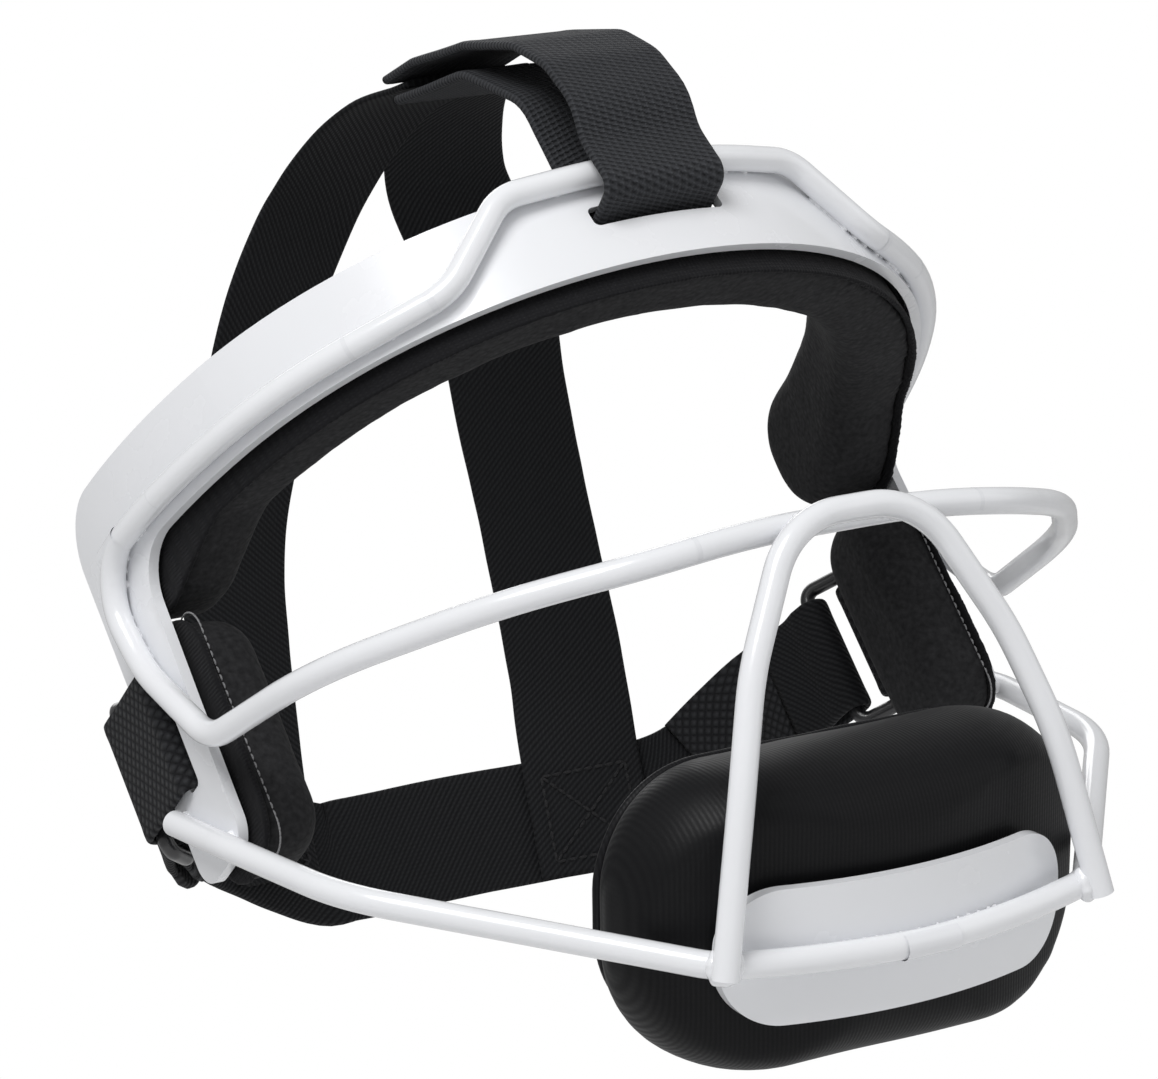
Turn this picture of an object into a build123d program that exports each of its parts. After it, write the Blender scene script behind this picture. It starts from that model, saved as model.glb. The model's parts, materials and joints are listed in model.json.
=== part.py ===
from build123d import *
import os
from math import sin, cos, tan, asin, radians, degrees, sqrt

# Softball face guard. Millimetres. +Z is up as worn, the face looks to -Y, +X is the wearer's left.
# The origin is the middle of the head space, between the temples.

os.makedirs("parts", exist_ok=True)

# Coated rod
WIRE_DIAMETER = 4.9
COAT_FILM = 0.12

# Tilt of the forehead band, and the backward lean of its sheet in the band's own frame
BAND_TILT_DEG = 24
SHEET_LEAN_DEG = 11.3

# Section of the forehead plate's inner face
FRONT_RADIUS = 79.2
FRONT_CENTRE_SETBACK = -0.5
FRONT_HALF_ANGLE_DEG = 68
INNER_HALF_WIDTH = 83.2
PLATE_THICKNESS = 2.0

# Side profile of the forehead plate: distances to the rear (v) and up (h) in the band's frame
BAND_TOP = 16.5
BAND_BOTTOM = -3.8
PLATE_REAR = 24.5
LEG_FRONT = 3.4
LEG_BOTTOM = -64.0
BAND_REAR_ROUND = 12.0
LEG_INNER_ROUND = 10.0
LEG_FOOT_ROUND = 5.5
SLOT_FRONT = 11.5
SLOT_WIDTH = 4.5
SLOT_TOP = -21.2
SLOT_ROUND = 1.2

# Upper wire
RAISED_BAR_HEIGHT = 16.0
RAISED_BAR_HALF_WIDTH = 31.0
RAISED_KINK_ROUND = 9.0
STEP_FOOT_HALF_WIDTH = 45.5
STEP_FOOT_HEIGHT = 1.2
STEP_FOOT_ROUND = 12.0
TEMPLE_V = 15.0
TEMPLE_H = -1.0
TEMPLE_ROUND = 12.0
CHEEK_V = 10.5
CHEEK_H = -24.0
CHEEK_ROUND = 25.0
EYE_BAR_REACH = 104.6
EYE_CORNER_DROP = 40.5
EYE_BAR_ROUNDS = (12.0, 60.0, 60.0, 40.0, 150.0)

# Jaw wire
JAW_END_V = 21.5
JAW_END_H = -50.2
JAW_REACH = 107.3
JAW_DROP = 97.8
JAW_ROUNDS = (40.0, 32.0, 12.0, 150.0)

# Nose wire
NOSE_FOOT_HALF_WIDTH = 40.3
NOSE_TOP_DROP = 21.3
NOSE_ROUNDS = (80.0, 60.0, 17.0)

# Chin plate and the frame that it and the chin cup stand in
CHIN_TILT_DEG = 20
CHIN_PLATE_RADIUS = 90.0
CHIN_PLATE_GAP = 0.6
CHIN_PLATE_THICKNESS = 2.0
CHIN_PLATE_HEIGHT = 25.0
CHIN_PLATE_HALF_LENGTH = 36.5
CHIN_PLATE_ROUND = 11.0

# Hook tape, pad backing and the gap between the pieces that peel apart
TAPE_THICKNESS = 0.8
PEEL_GAP = 0.3
BACKING_THICKNESS = 1.0
TAPE_INSET = 2.5

# Forehead pad
PAD_THICKNESS = 14.0
PAD_CROWN_ROUND = 5.0
FOREHEAD_PAD_TOP = 13.5
FOREHEAD_PAD_BOTTOM = -8.3
FOREHEAD_PAD_REAR = 21.0
PAD_NOTCH_SIDE = 7.0
FOREHEAD_LOBE_BOTTOM = -15.2
FOREHEAD_LOBE_FRONT = -17.0

# Jaw pads
JAW_PAD_FRONT = -1.8
JAW_PAD_REAR = 22.5
JAW_PAD_TOP = -16.6
JAW_PAD_BOTTOM = -68.0
JAW_PAD_ROUND = 10.5
JAW_PAD_SLIMMER = 1.5
JAW_CROWN_ROUND = 6.5
TAB_RECESS_MARGIN = 1.4
LEG_TAPE_REAR = 11.0

# Chin cup
CUP_HALF_WIDTH = 49.5
CUP_HEIGHT = 57.0
CUP_SHIFT = 1.5
CUP_DEPTH = 33.0
CUP_RISE = 2.0
CUP_CORNER_ROUND = 23.5
CUP_WALL = 13.0
COVER_THICKNESS = 1.2
LINING_THICKNESS = 1.0
RIM_BINDING = 2.4

# Webbing
STRAP_WIDTH = 25.4
STRAP_THICKNESS = 1.8
STRAP_GAP = 0.3
TAIL_GAP = 1.2
CROWN_HEIGHT = 79.8
BACK_REACH = 76.0
BACK_STRAP_DROP = 70.7
LOOP_DROP = 7.4
STRAP_SHIFT = -3.1
LOOP_SWING = 0.8
TOP_SLOT_CLEARANCE = 1.3
TOP_SLOT_SIDE = 0.8
LOOP_FOLD_ROUND = 2.8
LOOP_RISE = 4.0
LOOP_ROUND = 9.0
TOP_STRAP_ROUND = 12.0
END_ROUND = 8.0
THREAD = 0.6

# Side anchors
TAB_THICKNESS = 1.5
TAB_PLAY = 0.8
TAB_SIDE_MARGIN = 0.5
RING_ROD = 3.0
RING_V = 39.5
RING_LENGTH = 9.5
RING_TURN_DEG = 45
RING_SIDE_PLAY = 1.2
RING_ROUND = 2.5
TAB_NOSE = 1.3

OVERRUN = 200.0

WIRE_RADIUS = WIRE_DIAMETER / 2
LEAN = tan(radians(SHEET_LEAN_DEG))
SLOT_REAR = SLOT_FRONT + SLOT_WIDTH
SLOT_BOTTOM = SLOT_TOP - STRAP_WIDTH - 2 * TAB_SIDE_MARGIN
SIDE_RADIUS = (INNER_HALF_WIDTH - FRONT_RADIUS * sin(radians(FRONT_HALF_ANGLE_DEG))) / (
    1 - sin(radians(FRONT_HALF_ANGLE_DEG))
)
SIDE_CENTRE_X = INNER_HALF_WIDTH - SIDE_RADIUS
SIDE_CENTRE_V = FRONT_CENTRE_SETBACK + (SIDE_RADIUS - FRONT_RADIUS) * cos(radians(FRONT_HALF_ANGLE_DEG))
WIRE_OFFSET = PLATE_THICKNESS + COAT_FILM + WIRE_RADIUS
WIRE_SIDE_X = INNER_HALF_WIDTH + WIRE_OFFSET

band = Plane(
    origin=(0, 0, 0), x_dir=(1, 0, 0), z_dir=(0, sin(radians(BAND_TILT_DEG)), cos(radians(BAND_TILT_DEG)))
)
chin = Plane(
    origin=(0, 0, 0), x_dir=(1, 0, 0), z_dir=(0, -sin(radians(CHIN_TILT_DEG)), cos(radians(CHIN_TILT_DEG)))
)
side_view = Plane(origin=(0, 0, 0), x_dir=(0, 1, 0), z_dir=(1, 0, 0))

# Shares of the sizes that they follow
arc_fit_share = 0.96
step_lead_share = 0.045
side_tangents_deg = (FRONT_HALF_ANGLE_DEG, 77, 85)
eye_bar_shares = (
    (1.0, 0.215, 1.0),
    (0.938, 0.545, 0.795),
    (0.686, 0.842, 0.659),
    (0.435, 0.976, 0.61),
    (0.206, 1.0, 0.556),
)
jaw_shares = ((1.0, 0.186, 0.613), (0.952, 0.499, 0.732), (0.45, 0.945, 0.965), (0.16, 1.0, 1.0))
nose_foot_reach_share = 0.925
nose_foot_drop_share = 0.99
nose_shares = ((0.831, 0.591), (0.67, 0.329), (0.335, 0.0))
lobe_run_share = 0.5
lobe_round_share = 0.4
tape_round_share = 0.3

cup_shares = (
    (0.0, 0.93, 0.9),
    (0.25, 0.99, 0.98),
    (0.5, 0.95, 1.0),
    (0.78, 0.85, 0.91),
    (1.0, 0.68, 0.7),
)
hollow_shares = ((0.0, 1.0, 1.0), (0.6, 0.93, 0.92), (1.0, 0.7, 0.6))
top_outer_shares = (
    (1.089, 0.941),
    (0.822, 0.978),
    (0.526, 0.947),
    (0.26, 0.829),
    (0.112, 0.659),
    (0.005, 0.401),
)
top_inner_shares = ((0.259, 0.5), (0.556, 0.79), (1.05, 0.8))
rear_strap_shares = (
    (0.03, 0.03, 0.955, (0.94, -0.34, 0.0)),
    (0.078, 0.184, 0.942, (0.93, -0.36, 0.04)),
    (0.126, 0.342, 0.875, (0.93, -0.34, 0.12)),
    (0.186, 0.487, 0.755, (0.94, -0.3, 0.15)),
    (0.276, 0.566, 0.579, (0.94, -0.28, 0.15)),
    (0.33, 0.632, 0.416, (0.95, -0.25, 0.12)),
    (0.367, 0.71, 0.214, (0.97, -0.18, 0.1)),
    (0.433, 0.82, -0.126, (0.98, -0.14, 0.08)),
    (0.472, 0.88, -0.478, (0.975, -0.22, 0.0)),
)
middle_strap_shares = ((0.0, 1.0, 1.0, (0, 0, -1)), (0.18, 0.991, 1.0, (0, 0, -1)))
left_strap_shares = (
    (0.339, 0.955, 1.003, (0, 0, -1)),
    (0.625, 0.855, 1.0, (0, 0, -1)),
    (0.751, 0.737, 0.94, (0, -0.18, -1)),
)
left_end_shares = ((0.846, 0.85), (0.889, 0.737))
right_strap_shares = (
    (0.3, 0.965, 0.985, (0, 0, -1)),
    (0.6, 0.808, 0.822, (0, 0, -1)),
    (0.732, 0.69, 0.775, (0, -0.18, -1)),
)
right_end_shares = ((0.85, 0.8), (0.889, 0.737))
junction_share = 0.47
start_lead_share = 0.3
tail_lead_share = 0.6
stitch_share = 0.72
crown_stitch_share = 0.45


def from_band(x, v, h):
    """World place of a point given in the band's frame."""
    return band.from_local_coords(Vector(x, v, h))


def mirrored(points):
    """Right-hand half of a path, its points in the opposite order."""
    return [Vector(-point.X, point.Y, point.Z) for point in reversed(points)]


def rod(points, rounds, closed=False):
    """Coated rod along straight runs joined by round bends."""
    path = FilletPolyline(*points, radius=rounds, close=closed)
    start = path @ 0
    section = Plane(origin=start, z_dir=path % 0) * Circle(WIRE_RADIUS)
    return sweep(section, path=path)


# Sheet and pads round the forehead
def outline_edges(offset, tail):
    """Head outline at the band's level, offset outwards, as one chain of edges."""
    front = FRONT_RADIUS + offset
    side = SIDE_RADIUS + offset
    half = radians(FRONT_HALF_ANGLE_DEG)
    middle = (FRONT_HALF_ANGLE_DEG + 90) / 2
    nose = (0, FRONT_CENTRE_SETBACK - front)
    blend = (front * sin(half), FRONT_CENTRE_SETBACK - front * cos(half))
    bulge = (
        SIDE_CENTRE_X + side * sin(radians(middle)),
        SIDE_CENTRE_V - side * cos(radians(middle)),
    )
    temple = (SIDE_CENTRE_X + side, SIDE_CENTRE_V)
    end = (SIDE_CENTRE_X + side, tail)
    flip = lambda p: (-p[0], p[1])
    return [
        Line(flip(end), flip(temple)),
        ThreePointArc(flip(temple), flip(bulge), flip(blend)),
        ThreePointArc(flip(blend), nose, blend),
        ThreePointArc(blend, bulge, temple),
        Line(temple, end),
    ]


def layer(inner, outer, profile):
    """Leaning layer between two offsets of the head outline, cut to a side profile in v and h."""
    box = profile.bounding_box()
    low = box.min.Z - TAPE_INSET
    high = box.max.Z + TAPE_INSET
    tail = OVERRUN
    inside = outline_edges(inner, tail)
    outside = outline_edges(outer, tail)
    left = Line(inside[-1] @ 1, outside[-1] @ 1)
    right = Line(inside[0] @ 0, outside[0] @ 0)
    ring = make_face(Curve() + inside + outside + [left, right])
    ring = Pos(0, LEAN * low, low) * ring
    slab = Solid.extrude(ring.face(), Vector(0, LEAN * (high - low), high - low))
    return slab & profile


def profile_solid(points, rounds, half_width=OVERRUN):
    """Side profile drawn in v and h, extruded along X to both sides."""
    wire = FilletPolyline(*[(v, h) for v, h in points], radius=rounds, close=True)
    return extrude(side_view * make_face(wire), half_width, both=True)


def half_profile(points, rounds, side):
    """Side profile extruded from the mirror plane to one side: +1 is left, -1 is right."""
    wire = FilletPolyline(*[(v, h) for v, h in points], radius=rounds, close=True)
    return extrude(side_view * make_face(wire), side * OVERRUN)


# Cage
def upper_wire():
    """Closed ring: raised forehead stretch, temples, cheeks and eye bar."""
    raised = FRONT_RADIUS + WIRE_OFFSET
    seated = raised
    side = SIDE_RADIUS + WIRE_OFFSET
    kink = degrees(asin(RAISED_BAR_HALF_WIDTH / raised))
    foot = degrees(asin(STEP_FOOT_HALF_WIDTH / seated))
    points = []
    rounds = []

    def add_arc(radius, centre_x, centre_v, tangents, height):
        for first, second in zip(tangents[:-1], tangents[1:]):
            middle = radians((first + second) / 2)
            reach = radius / cos(radians((second - first) / 2))
            v = centre_v + LEAN * height - reach * cos(middle)
            points.append(from_band(centre_x + reach * sin(middle), v, height))
            rounds.append(arc_fit_share * radius)

    points.append(
        from_band(
            raised * tan(radians(kink / 3)),
            FRONT_CENTRE_SETBACK + LEAN * RAISED_BAR_HEIGHT - raised,
            RAISED_BAR_HEIGHT,
        )
    )
    rounds.append(arc_fit_share * raised)
    kink_reach = raised / cos(radians(kink / 3))
    points.append(
        from_band(
            kink_reach * sin(radians(kink)),
            FRONT_CENTRE_SETBACK + LEAN * RAISED_BAR_HEIGHT - kink_reach * cos(radians(kink)),
            RAISED_BAR_HEIGHT,
        )
    )
    rounds.append(RAISED_KINK_ROUND)
    arc_start = foot + step_lead_share * FRONT_HALF_ANGLE_DEG
    reach = seated / cos(radians(arc_start - foot))
    points.append(
        from_band(
            reach * sin(radians(foot)),
            FRONT_CENTRE_SETBACK + LEAN * STEP_FOOT_HEIGHT - reach * cos(radians(foot)),
            STEP_FOOT_HEIGHT,
        )
    )
    rounds.append(STEP_FOOT_ROUND)
    stride = (FRONT_HALF_ANGLE_DEG - arc_start) / 3
    add_arc(seated, 0, FRONT_CENTRE_SETBACK, [arc_start + stride * i for i in range(4)], 0)
    add_arc(side, SIDE_CENTRE_X, SIDE_CENTRE_V, side_tangents_deg, 0)
    points.append(from_band(WIRE_SIDE_X, TEMPLE_V, TEMPLE_H))
    points.append(from_band(WIRE_SIDE_X, CHEEK_V, CHEEK_H))
    rounds.extend([TEMPLE_ROUND, CHEEK_ROUND])
    points.extend(eye_bar_points())
    rounds.extend(EYE_BAR_ROUNDS)
    return rod(points + mirrored(points), rounds + rounds[::-1], closed=True)


def eye_bar_points():
    """Left half of the eye bar, from the eye corner to near the middle."""
    return [
        Vector(WIRE_SIDE_X * x, -EYE_BAR_REACH * y, -EYE_CORNER_DROP * z) for x, y, z in eye_bar_shares
    ]


def jaw_points():
    """Left half of the jaw bow, from its cut end on the leg to near the middle."""
    bow = [Vector(WIRE_SIDE_X * x, -JAW_REACH * y, -JAW_DROP * z) for x, y, z in jaw_shares]
    return [from_band(WIRE_SIDE_X, JAW_END_V, JAW_END_H)] + bow


def nose_points():
    """Left half of the nose bow, from its foot on the jaw bow to the top on the eye bar."""
    lap = WIRE_DIAMETER + COAT_FILM
    foot_y = -JAW_REACH * nose_foot_reach_share - lap
    top_y = -EYE_BAR_REACH - lap
    drop = JAW_DROP
    places = [(1.0, foot_y, drop * nose_foot_drop_share)]
    places += [(x, top_y, NOSE_TOP_DROP + (drop - NOSE_TOP_DROP) * z) for x, z in nose_shares]
    return [Vector(NOSE_FOOT_HALF_WIDTH * x, y, -z) for x, y, z in places]


def forehead_profile():
    """Side profile of the band and its legs."""
    front = -OVERRUN
    return profile_solid(
        [
            (front, BAND_TOP),
            (PLATE_REAR, BAND_TOP),
            (PLATE_REAR, LEG_BOTTOM),
            (LEG_FRONT, LEG_BOTTOM),
            (LEG_FRONT, BAND_BOTTOM),
            (front, BAND_BOTTOM),
        ],
        [0, BAND_REAR_ROUND, LEG_FOOT_ROUND, LEG_FOOT_ROUND, LEG_INNER_ROUND, 0],
    )


def tape_profile():
    """Side profile of the hook tape along the band."""
    front = -OVERRUN
    top = BAND_TOP - TAPE_INSET
    bottom = BAND_BOTTOM + TAPE_INSET
    rear = FOREHEAD_PAD_REAR - TAPE_INSET
    corner = tape_round_share * (top - bottom)
    return profile_solid([(front, top), (rear, top), (rear, bottom), (front, bottom)], [0, corner, corner, 0])


def leg_tape_profile(side):
    """Side profile of the hook tape on a leg, in front of its slot."""
    front = LEG_FRONT + TAPE_INSET / 2
    rear = LEG_TAPE_REAR
    top = JAW_PAD_TOP - TAPE_INSET
    bottom = LEG_BOTTOM + TAPE_INSET
    corner = tape_round_share * (rear - front)
    return half_profile([(front, top), (rear, top), (rear, bottom), (front, bottom)], corner, side)


def slot_cutter():
    """Strap slots through both legs."""
    return profile_solid(
        [(SLOT_FRONT, SLOT_TOP), (SLOT_REAR, SLOT_TOP), (SLOT_REAR, SLOT_BOTTOM), (SLOT_FRONT, SLOT_BOTTOM)],
        SLOT_ROUND,
    )


def chin_face_y():
    """Depth of the chin plate's outer face in the chin's frame, behind the jaw bow."""
    bar = chin.to_local_coords(Vector(0, -JAW_REACH, -JAW_DROP))
    return bar.Y + WIRE_RADIUS + CHIN_PLATE_GAP


def chin_level():
    """Height of the jaw bow in the chin's frame."""
    return chin.to_local_coords(Vector(0, -JAW_REACH, -JAW_DROP)).Z


def chin_drum(depth):
    """Round drum whose front lies a given depth behind the chin plate's outer face."""
    centre = chin_face_y() + CHIN_PLATE_RADIUS
    return Pos(0, centre, chin_level()) * Cylinder(CHIN_PLATE_RADIUS - depth, OVERRUN)


def chin_strip(depth_out, depth_in, inset):
    """Curved strip between two depths, with rounded ends."""
    view = Plane(origin=(0, chin_face_y() + OVERRUN, chin_level()), x_dir=(1, 0, 0), z_dir=(0, -1, 0))
    window = RectangleRounded(
        2 * (CHIN_PLATE_HALF_LENGTH - inset), CHIN_PLATE_HEIGHT - 2 * inset, CHIN_PLATE_ROUND - inset
    )
    block = extrude(view * window, 2 * OVERRUN)
    return chin * ((chin_drum(depth_out) - chin_drum(depth_in)) & block & chin_front_half())


def chin_front_half():
    """The half of the drum that faces forward."""
    return Pos(0, chin_face_y(), chin_level()) * Box(2 * OVERRUN, CHIN_PLATE_RADIUS, 2 * OVERRUN)


# Pads
def forehead_pad_profile(inset):
    """Side profile of the forehead pad with its two side lobes."""
    front = -OVERRUN
    top = FOREHEAD_PAD_TOP - inset
    low = FOREHEAD_PAD_BOTTOM + inset
    rear = FOREHEAD_PAD_REAR - inset
    lobe = FOREHEAD_LOBE_BOTTOM + inset
    lobe_front = FOREHEAD_LOBE_FRONT + inset
    lobe_back = lobe_front + lobe_run_share * (FOREHEAD_PAD_REAR - FOREHEAD_LOBE_FRONT)
    end_round = lobe_round_share * (FOREHEAD_PAD_TOP - FOREHEAD_LOBE_BOTTOM)
    return profile_solid(
        [(front, top), (rear, top), (rear, lobe), (lobe_back, lobe), (lobe_front, low), (front, low)],
        [0, end_round, end_round, end_round, end_round, 0],
    )


def jaw_pad_profile(inset, side):
    """Side profile of one jaw pad."""
    front = JAW_PAD_FRONT + inset
    rear = JAW_PAD_REAR - inset
    top = JAW_PAD_TOP - inset
    bottom = JAW_PAD_BOTTOM + inset
    corner = JAW_PAD_ROUND - inset
    return half_profile([(front, top), (rear, top), (rear, bottom), (front, bottom)], corner, side)


def tab_recess(side):
    """Room that a jaw pad leaves for the inner layer of the side tab."""
    face = INNER_HALF_WIDTH - TAB_PLAY - TAB_THICKNESS - TAB_RECESS_MARGIN
    front = SLOT_FRONT
    top = SLOT_TOP + TAB_RECESS_MARGIN
    bottom = SLOT_BOTTOM - TAB_RECESS_MARGIN
    length = JAW_PAD_REAR + JAW_PAD_ROUND - front
    room = Box(INNER_HALF_WIDTH, length, top - bottom, align=(Align.MIN, Align.MIN, Align.MIN))
    room = Pos(face, front, bottom) * room
    return room if side > 0 else room.mirror(Plane.YZ)


def rim_edges(solid, offset):
    """Edges of a pad's inner side, at a given offset from the plate's inner face."""
    half = radians(FRONT_HALF_ANGLE_DEG)
    found = []
    for edge in solid.edges():
        middle = edge @ 0.5
        v = middle.Y - LEAN * middle.Z
        x = abs(middle.X)
        ahead = v - FRONT_CENTRE_SETBACK
        if v > SIDE_CENTRE_V:
            place = x - INNER_HALF_WIDTH
        elif x * cos(half) + ahead * sin(half) < 0:
            place = sqrt(x**2 + ahead**2) - FRONT_RADIUS
        else:
            place = sqrt((x - SIDE_CENTRE_X) ** 2 + (v - SIDE_CENTRE_V) ** 2) - SIDE_RADIUS
        if abs(place - offset) < COAT_FILM / 2:
            found.append(edge)
    return found


def crowned(solid, offset, crown):
    """Pad with its inner edge drawn in."""
    return fillet(rim_edges(solid, offset), crown)


# Chin cup
def cup_front_y():
    """Depth of the chin cup's front in the chin's frame."""
    return chin_face_y() + CHIN_PLATE_THICKNESS + TAPE_THICKNESS + PEEL_GAP + BACKING_THICKNESS


def cup_section(y, width, height, corner):
    """Rounded section of the cup, standing across its depth."""
    view = Plane(origin=(CUP_SHIFT, y, cup_level()), x_dir=(1, 0, 0), z_dir=(0, -1, 0))
    return view * RectangleRounded(width, height, corner)


def cup_level():
    """Height of the cup's middle in the chin's frame."""
    return chin_level() + CUP_RISE


def cup_body(inset):
    """Domed cushion, drawn in all round by an inset, its front fitted behind the chin plate."""
    front = cup_front_y()
    rear = front + CUP_DEPTH - RIM_BINDING - inset
    depth = rear - front + inset
    sections = [
        cup_section(
            rear - depth * deep,
            2 * (CUP_HALF_WIDTH * wide - inset),
            CUP_HEIGHT * tall - 2 * inset,
            CUP_CORNER_ROUND * tall - inset,
        )
        for deep, wide, tall in cup_shares
    ]
    drum_depth = CHIN_PLATE_THICKNESS + TAPE_THICKNESS + PEEL_GAP + BACKING_THICKNESS + inset
    return loft(sections) & chin_drum(drum_depth)


def cup_hollow(grow):
    """Room for the chin, open to the rear, grown all round."""
    front = cup_front_y()
    rear = front + CUP_DEPTH
    bottom = front + CUP_WALL - grow
    sections = [
        cup_section(
            rear + (bottom - rear) * deep,
            2 * ((CUP_HALF_WIDTH - CUP_WALL) * wide + grow),
            (CUP_HEIGHT - 2 * CUP_WALL) * tall + 2 * grow,
            (CUP_CORNER_ROUND - CUP_WALL) * tall + grow,
        )
        for deep, wide, tall in hollow_shares
    ]
    return loft(sections)


def cup_binding():
    """Band that closes the rear rim of the cup."""
    rear = cup_front_y() + CUP_DEPTH
    deep, wide, tall = cup_shares[0]
    rim = cup_section(rear, 2 * CUP_HALF_WIDTH * wide, CUP_HEIGHT * tall, CUP_CORNER_ROUND * tall)
    return extrude(rim, RIM_BINDING) - cup_hollow(LINING_THICKNESS)


# Harness
def webbing(points, rounds, width=STRAP_WIDTH, thickness=STRAP_THICKNESS):
    """Flat webbing swept along a path in a plane, its width along the plane's normal."""
    path = FilletPolyline(*points, radius=rounds)
    section = Plane(origin=path @ 0, x_dir=(0, 0, 1), z_dir=path % 0) * Rectangle(width, thickness)
    return sweep(section, path=path)


def ribbon(stations):
    """Webbing that bends and twists, lofted through stations of centre and width direction."""
    centres = [Vector(*centre) for centre, _ in stations]
    faces = []
    for i, (centre, across) in enumerate(stations):
        ahead = centres[min(i + 1, len(centres) - 1)]
        behind = centres[max(i - 1, 0)]
        travel = (ahead - behind).normalized()
        width = Vector(*across)
        width = (width - travel * width.dot(travel)).normalized()
        faces.append(Plane(origin=centres[i], x_dir=width, z_dir=travel) * Rectangle(STRAP_WIDTH, STRAP_THICKNESS))
    return loft(faces, ruled=True)


def sheet_axes():
    """Directions in depth and height: up along the front of the sheet, and out from it."""
    lean = radians(BAND_TILT_DEG + SHEET_LEAN_DEG)
    return (sin(lean), cos(lean)), (-cos(lean), sin(lean))


def bar_place():
    """Depth and height of the raised bar's middle, which the top strap's loop turns about."""
    front = FRONT_RADIUS + WIRE_OFFSET
    place = from_band(0, FRONT_CENTRE_SETBACK + LEAN * RAISED_BAR_HEIGHT - front, RAISED_BAR_HEIGHT)
    return place.Y, place.Z


def sheet_bow():
    """Depth that the curved sheet falls back by at the far edge of the off-centre strap."""
    edge = STRAP_WIDTH / 2 + abs(STRAP_SHIFT)
    return edge**2 / (2 * FRONT_RADIUS)


def rear_layer_depth():
    """Distance of the strap's rear layer behind the raised bar's middle."""
    sheet = WIRE_RADIUS + COAT_FILM + PLATE_THICKNESS
    return sheet + sheet_bow() + STRAP_GAP + LOOP_SWING + STRAP_THICKNESS / 2


def top_strap():
    """Two layers from the crown, looped over the raised bar and through the plate's top slot."""
    bar_y, bar_z = bar_place()
    up, out = sheet_axes()

    def beside(along, across):
        return (bar_y + along * up[0] + across * out[0], bar_z + along * up[1] + across * out[1])

    run = -bar_y
    rise = CROWN_HEIGHT - bar_z
    fore = WIRE_RADIUS + STRAP_GAP + STRAP_THICKNESS / 2
    rear = rear_layer_depth()
    outer = [(bar_y + run * y, bar_z + rise * z) for y, z in top_outer_shares]
    inner = [(bar_y + run * y, bar_z + rise * z) for y, z in top_inner_shares]
    fold = [beside(LOOP_RISE, fore), beside(-LOOP_DROP, fore)]
    fold += [beside(-LOOP_DROP, -rear), beside(LOOP_RISE, -rear)]
    rounds = [TOP_STRAP_ROUND] * (len(outer) - 1) + [LOOP_ROUND, LOOP_FOLD_ROUND]
    rounds += [LOOP_FOLD_ROUND, LOOP_ROUND] + [TOP_STRAP_ROUND] * (len(inner) - 1)
    return side_view * Pos(0, 0, STRAP_SHIFT) * webbing(outer + fold + inner, rounds)


def fold_fall(depth):
    """Distance of the strap's lower fold under the raised bar at a depth behind it."""
    lean = radians(SHEET_LEAN_DEG)
    return LOOP_DROP * cos(lean) + depth * sin(lean)


def top_slot():
    """Slot under the raised bar that the top strap passes through."""
    clearance = STRAP_THICKNESS / 2 + TOP_SLOT_CLEARANCE
    middle = RAISED_BAR_HEIGHT - fold_fall(WIRE_RADIUS + COAT_FILM + (PLATE_THICKNESS + sheet_bow()) / 2)
    window = RectangleRounded(STRAP_WIDTH + 2 * TOP_SLOT_SIDE, 2 * clearance, SLOT_ROUND)
    view = Plane(origin=(STRAP_SHIFT, 0, middle), x_dir=(1, 0, 0), z_dir=(0, -1, 0))
    return extrude(view * window, OVERRUN)


def recess_floor():
    """Height above which the room behind the plate belongs to the top strap."""
    return RAISED_BAR_HEIGHT - fold_fall(rear_layer_depth()) - STRAP_THICKNESS / 2 - TOP_SLOT_CLEARANCE


def pad_notch():
    """Notch in the top edge of the forehead pad, where the top strap passes."""
    height = FOREHEAD_PAD_TOP + OVERRUN - recess_floor()
    block = Box(STRAP_WIDTH + 2 * PAD_NOTCH_SIDE, 2 * OVERRUN, height)
    return Pos(STRAP_SHIFT, 0, recess_floor() + height / 2) * block


def strap_recess():
    """Room behind the plate for the rear layer of the top strap."""
    swing = STRAP_THICKNESS / 2 + LOOP_SWING + STRAP_GAP
    room = rear_layer_depth() + swing - WIRE_RADIUS - COAT_FILM - PLATE_THICKNESS
    low = recess_floor()
    high = BAND_TOP + PLATE_THICKNESS
    front = FRONT_CENTRE_SETBACK - FRONT_RADIUS
    inner = [(front + LEAN * h + room / cos(radians(SHEET_LEAN_DEG)), h) for h in (low, high)]
    outline = Polyline((-OVERRUN, low), inner[0], inner[1], (-OVERRUN, high), close=True)
    half = STRAP_WIDTH / 2 + TOP_SLOT_SIDE
    return Pos(STRAP_SHIFT, 0, 0) * extrude(side_view * make_face(outline), half, both=True)


def junction(side):
    """Place and level run of a rear strap's end inside the back strap, and half its height there."""
    start, end = (centre for centre, _ in back_strap_stations(STRAP_THICKNESS + STRAP_GAP, side)[2:4])
    run = end - start
    level = Vector(run.X, run.Y, 0)
    drop = STRAP_WIDTH / 2 * (1 - abs(run.Z) / level.length)
    return start + run * junction_share, level.normalized(), drop


def rear_strap_stations(side):
    """Stations of a rear strap as it lies on the left, from the crown to the back strap."""
    stations = [
        (Vector(INNER_HALF_WIDTH * x, BACK_REACH * y, CROWN_HEIGHT * z), Vector(*across))
        for x, y, z, across in (rear_strap_shares if side > 0 else rear_strap_shares[:-1])
    ]
    place, run, drop = junction(side)
    return stations + [(place + Vector(0, 0, drop), run), (place - Vector(0, 0, drop), run)]


def rear_strap(side):
    """Strap from the crown, where it meets its twin, down the back of the head."""
    half_space = Pos(OVERRUN / 2, 0, 0) * Box(OVERRUN, 2 * OVERRUN, 2 * OVERRUN)
    strap = ribbon(rear_strap_stations(side)) & half_space
    return strap if side > 0 else strap.mirror(Plane.YZ)


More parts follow.
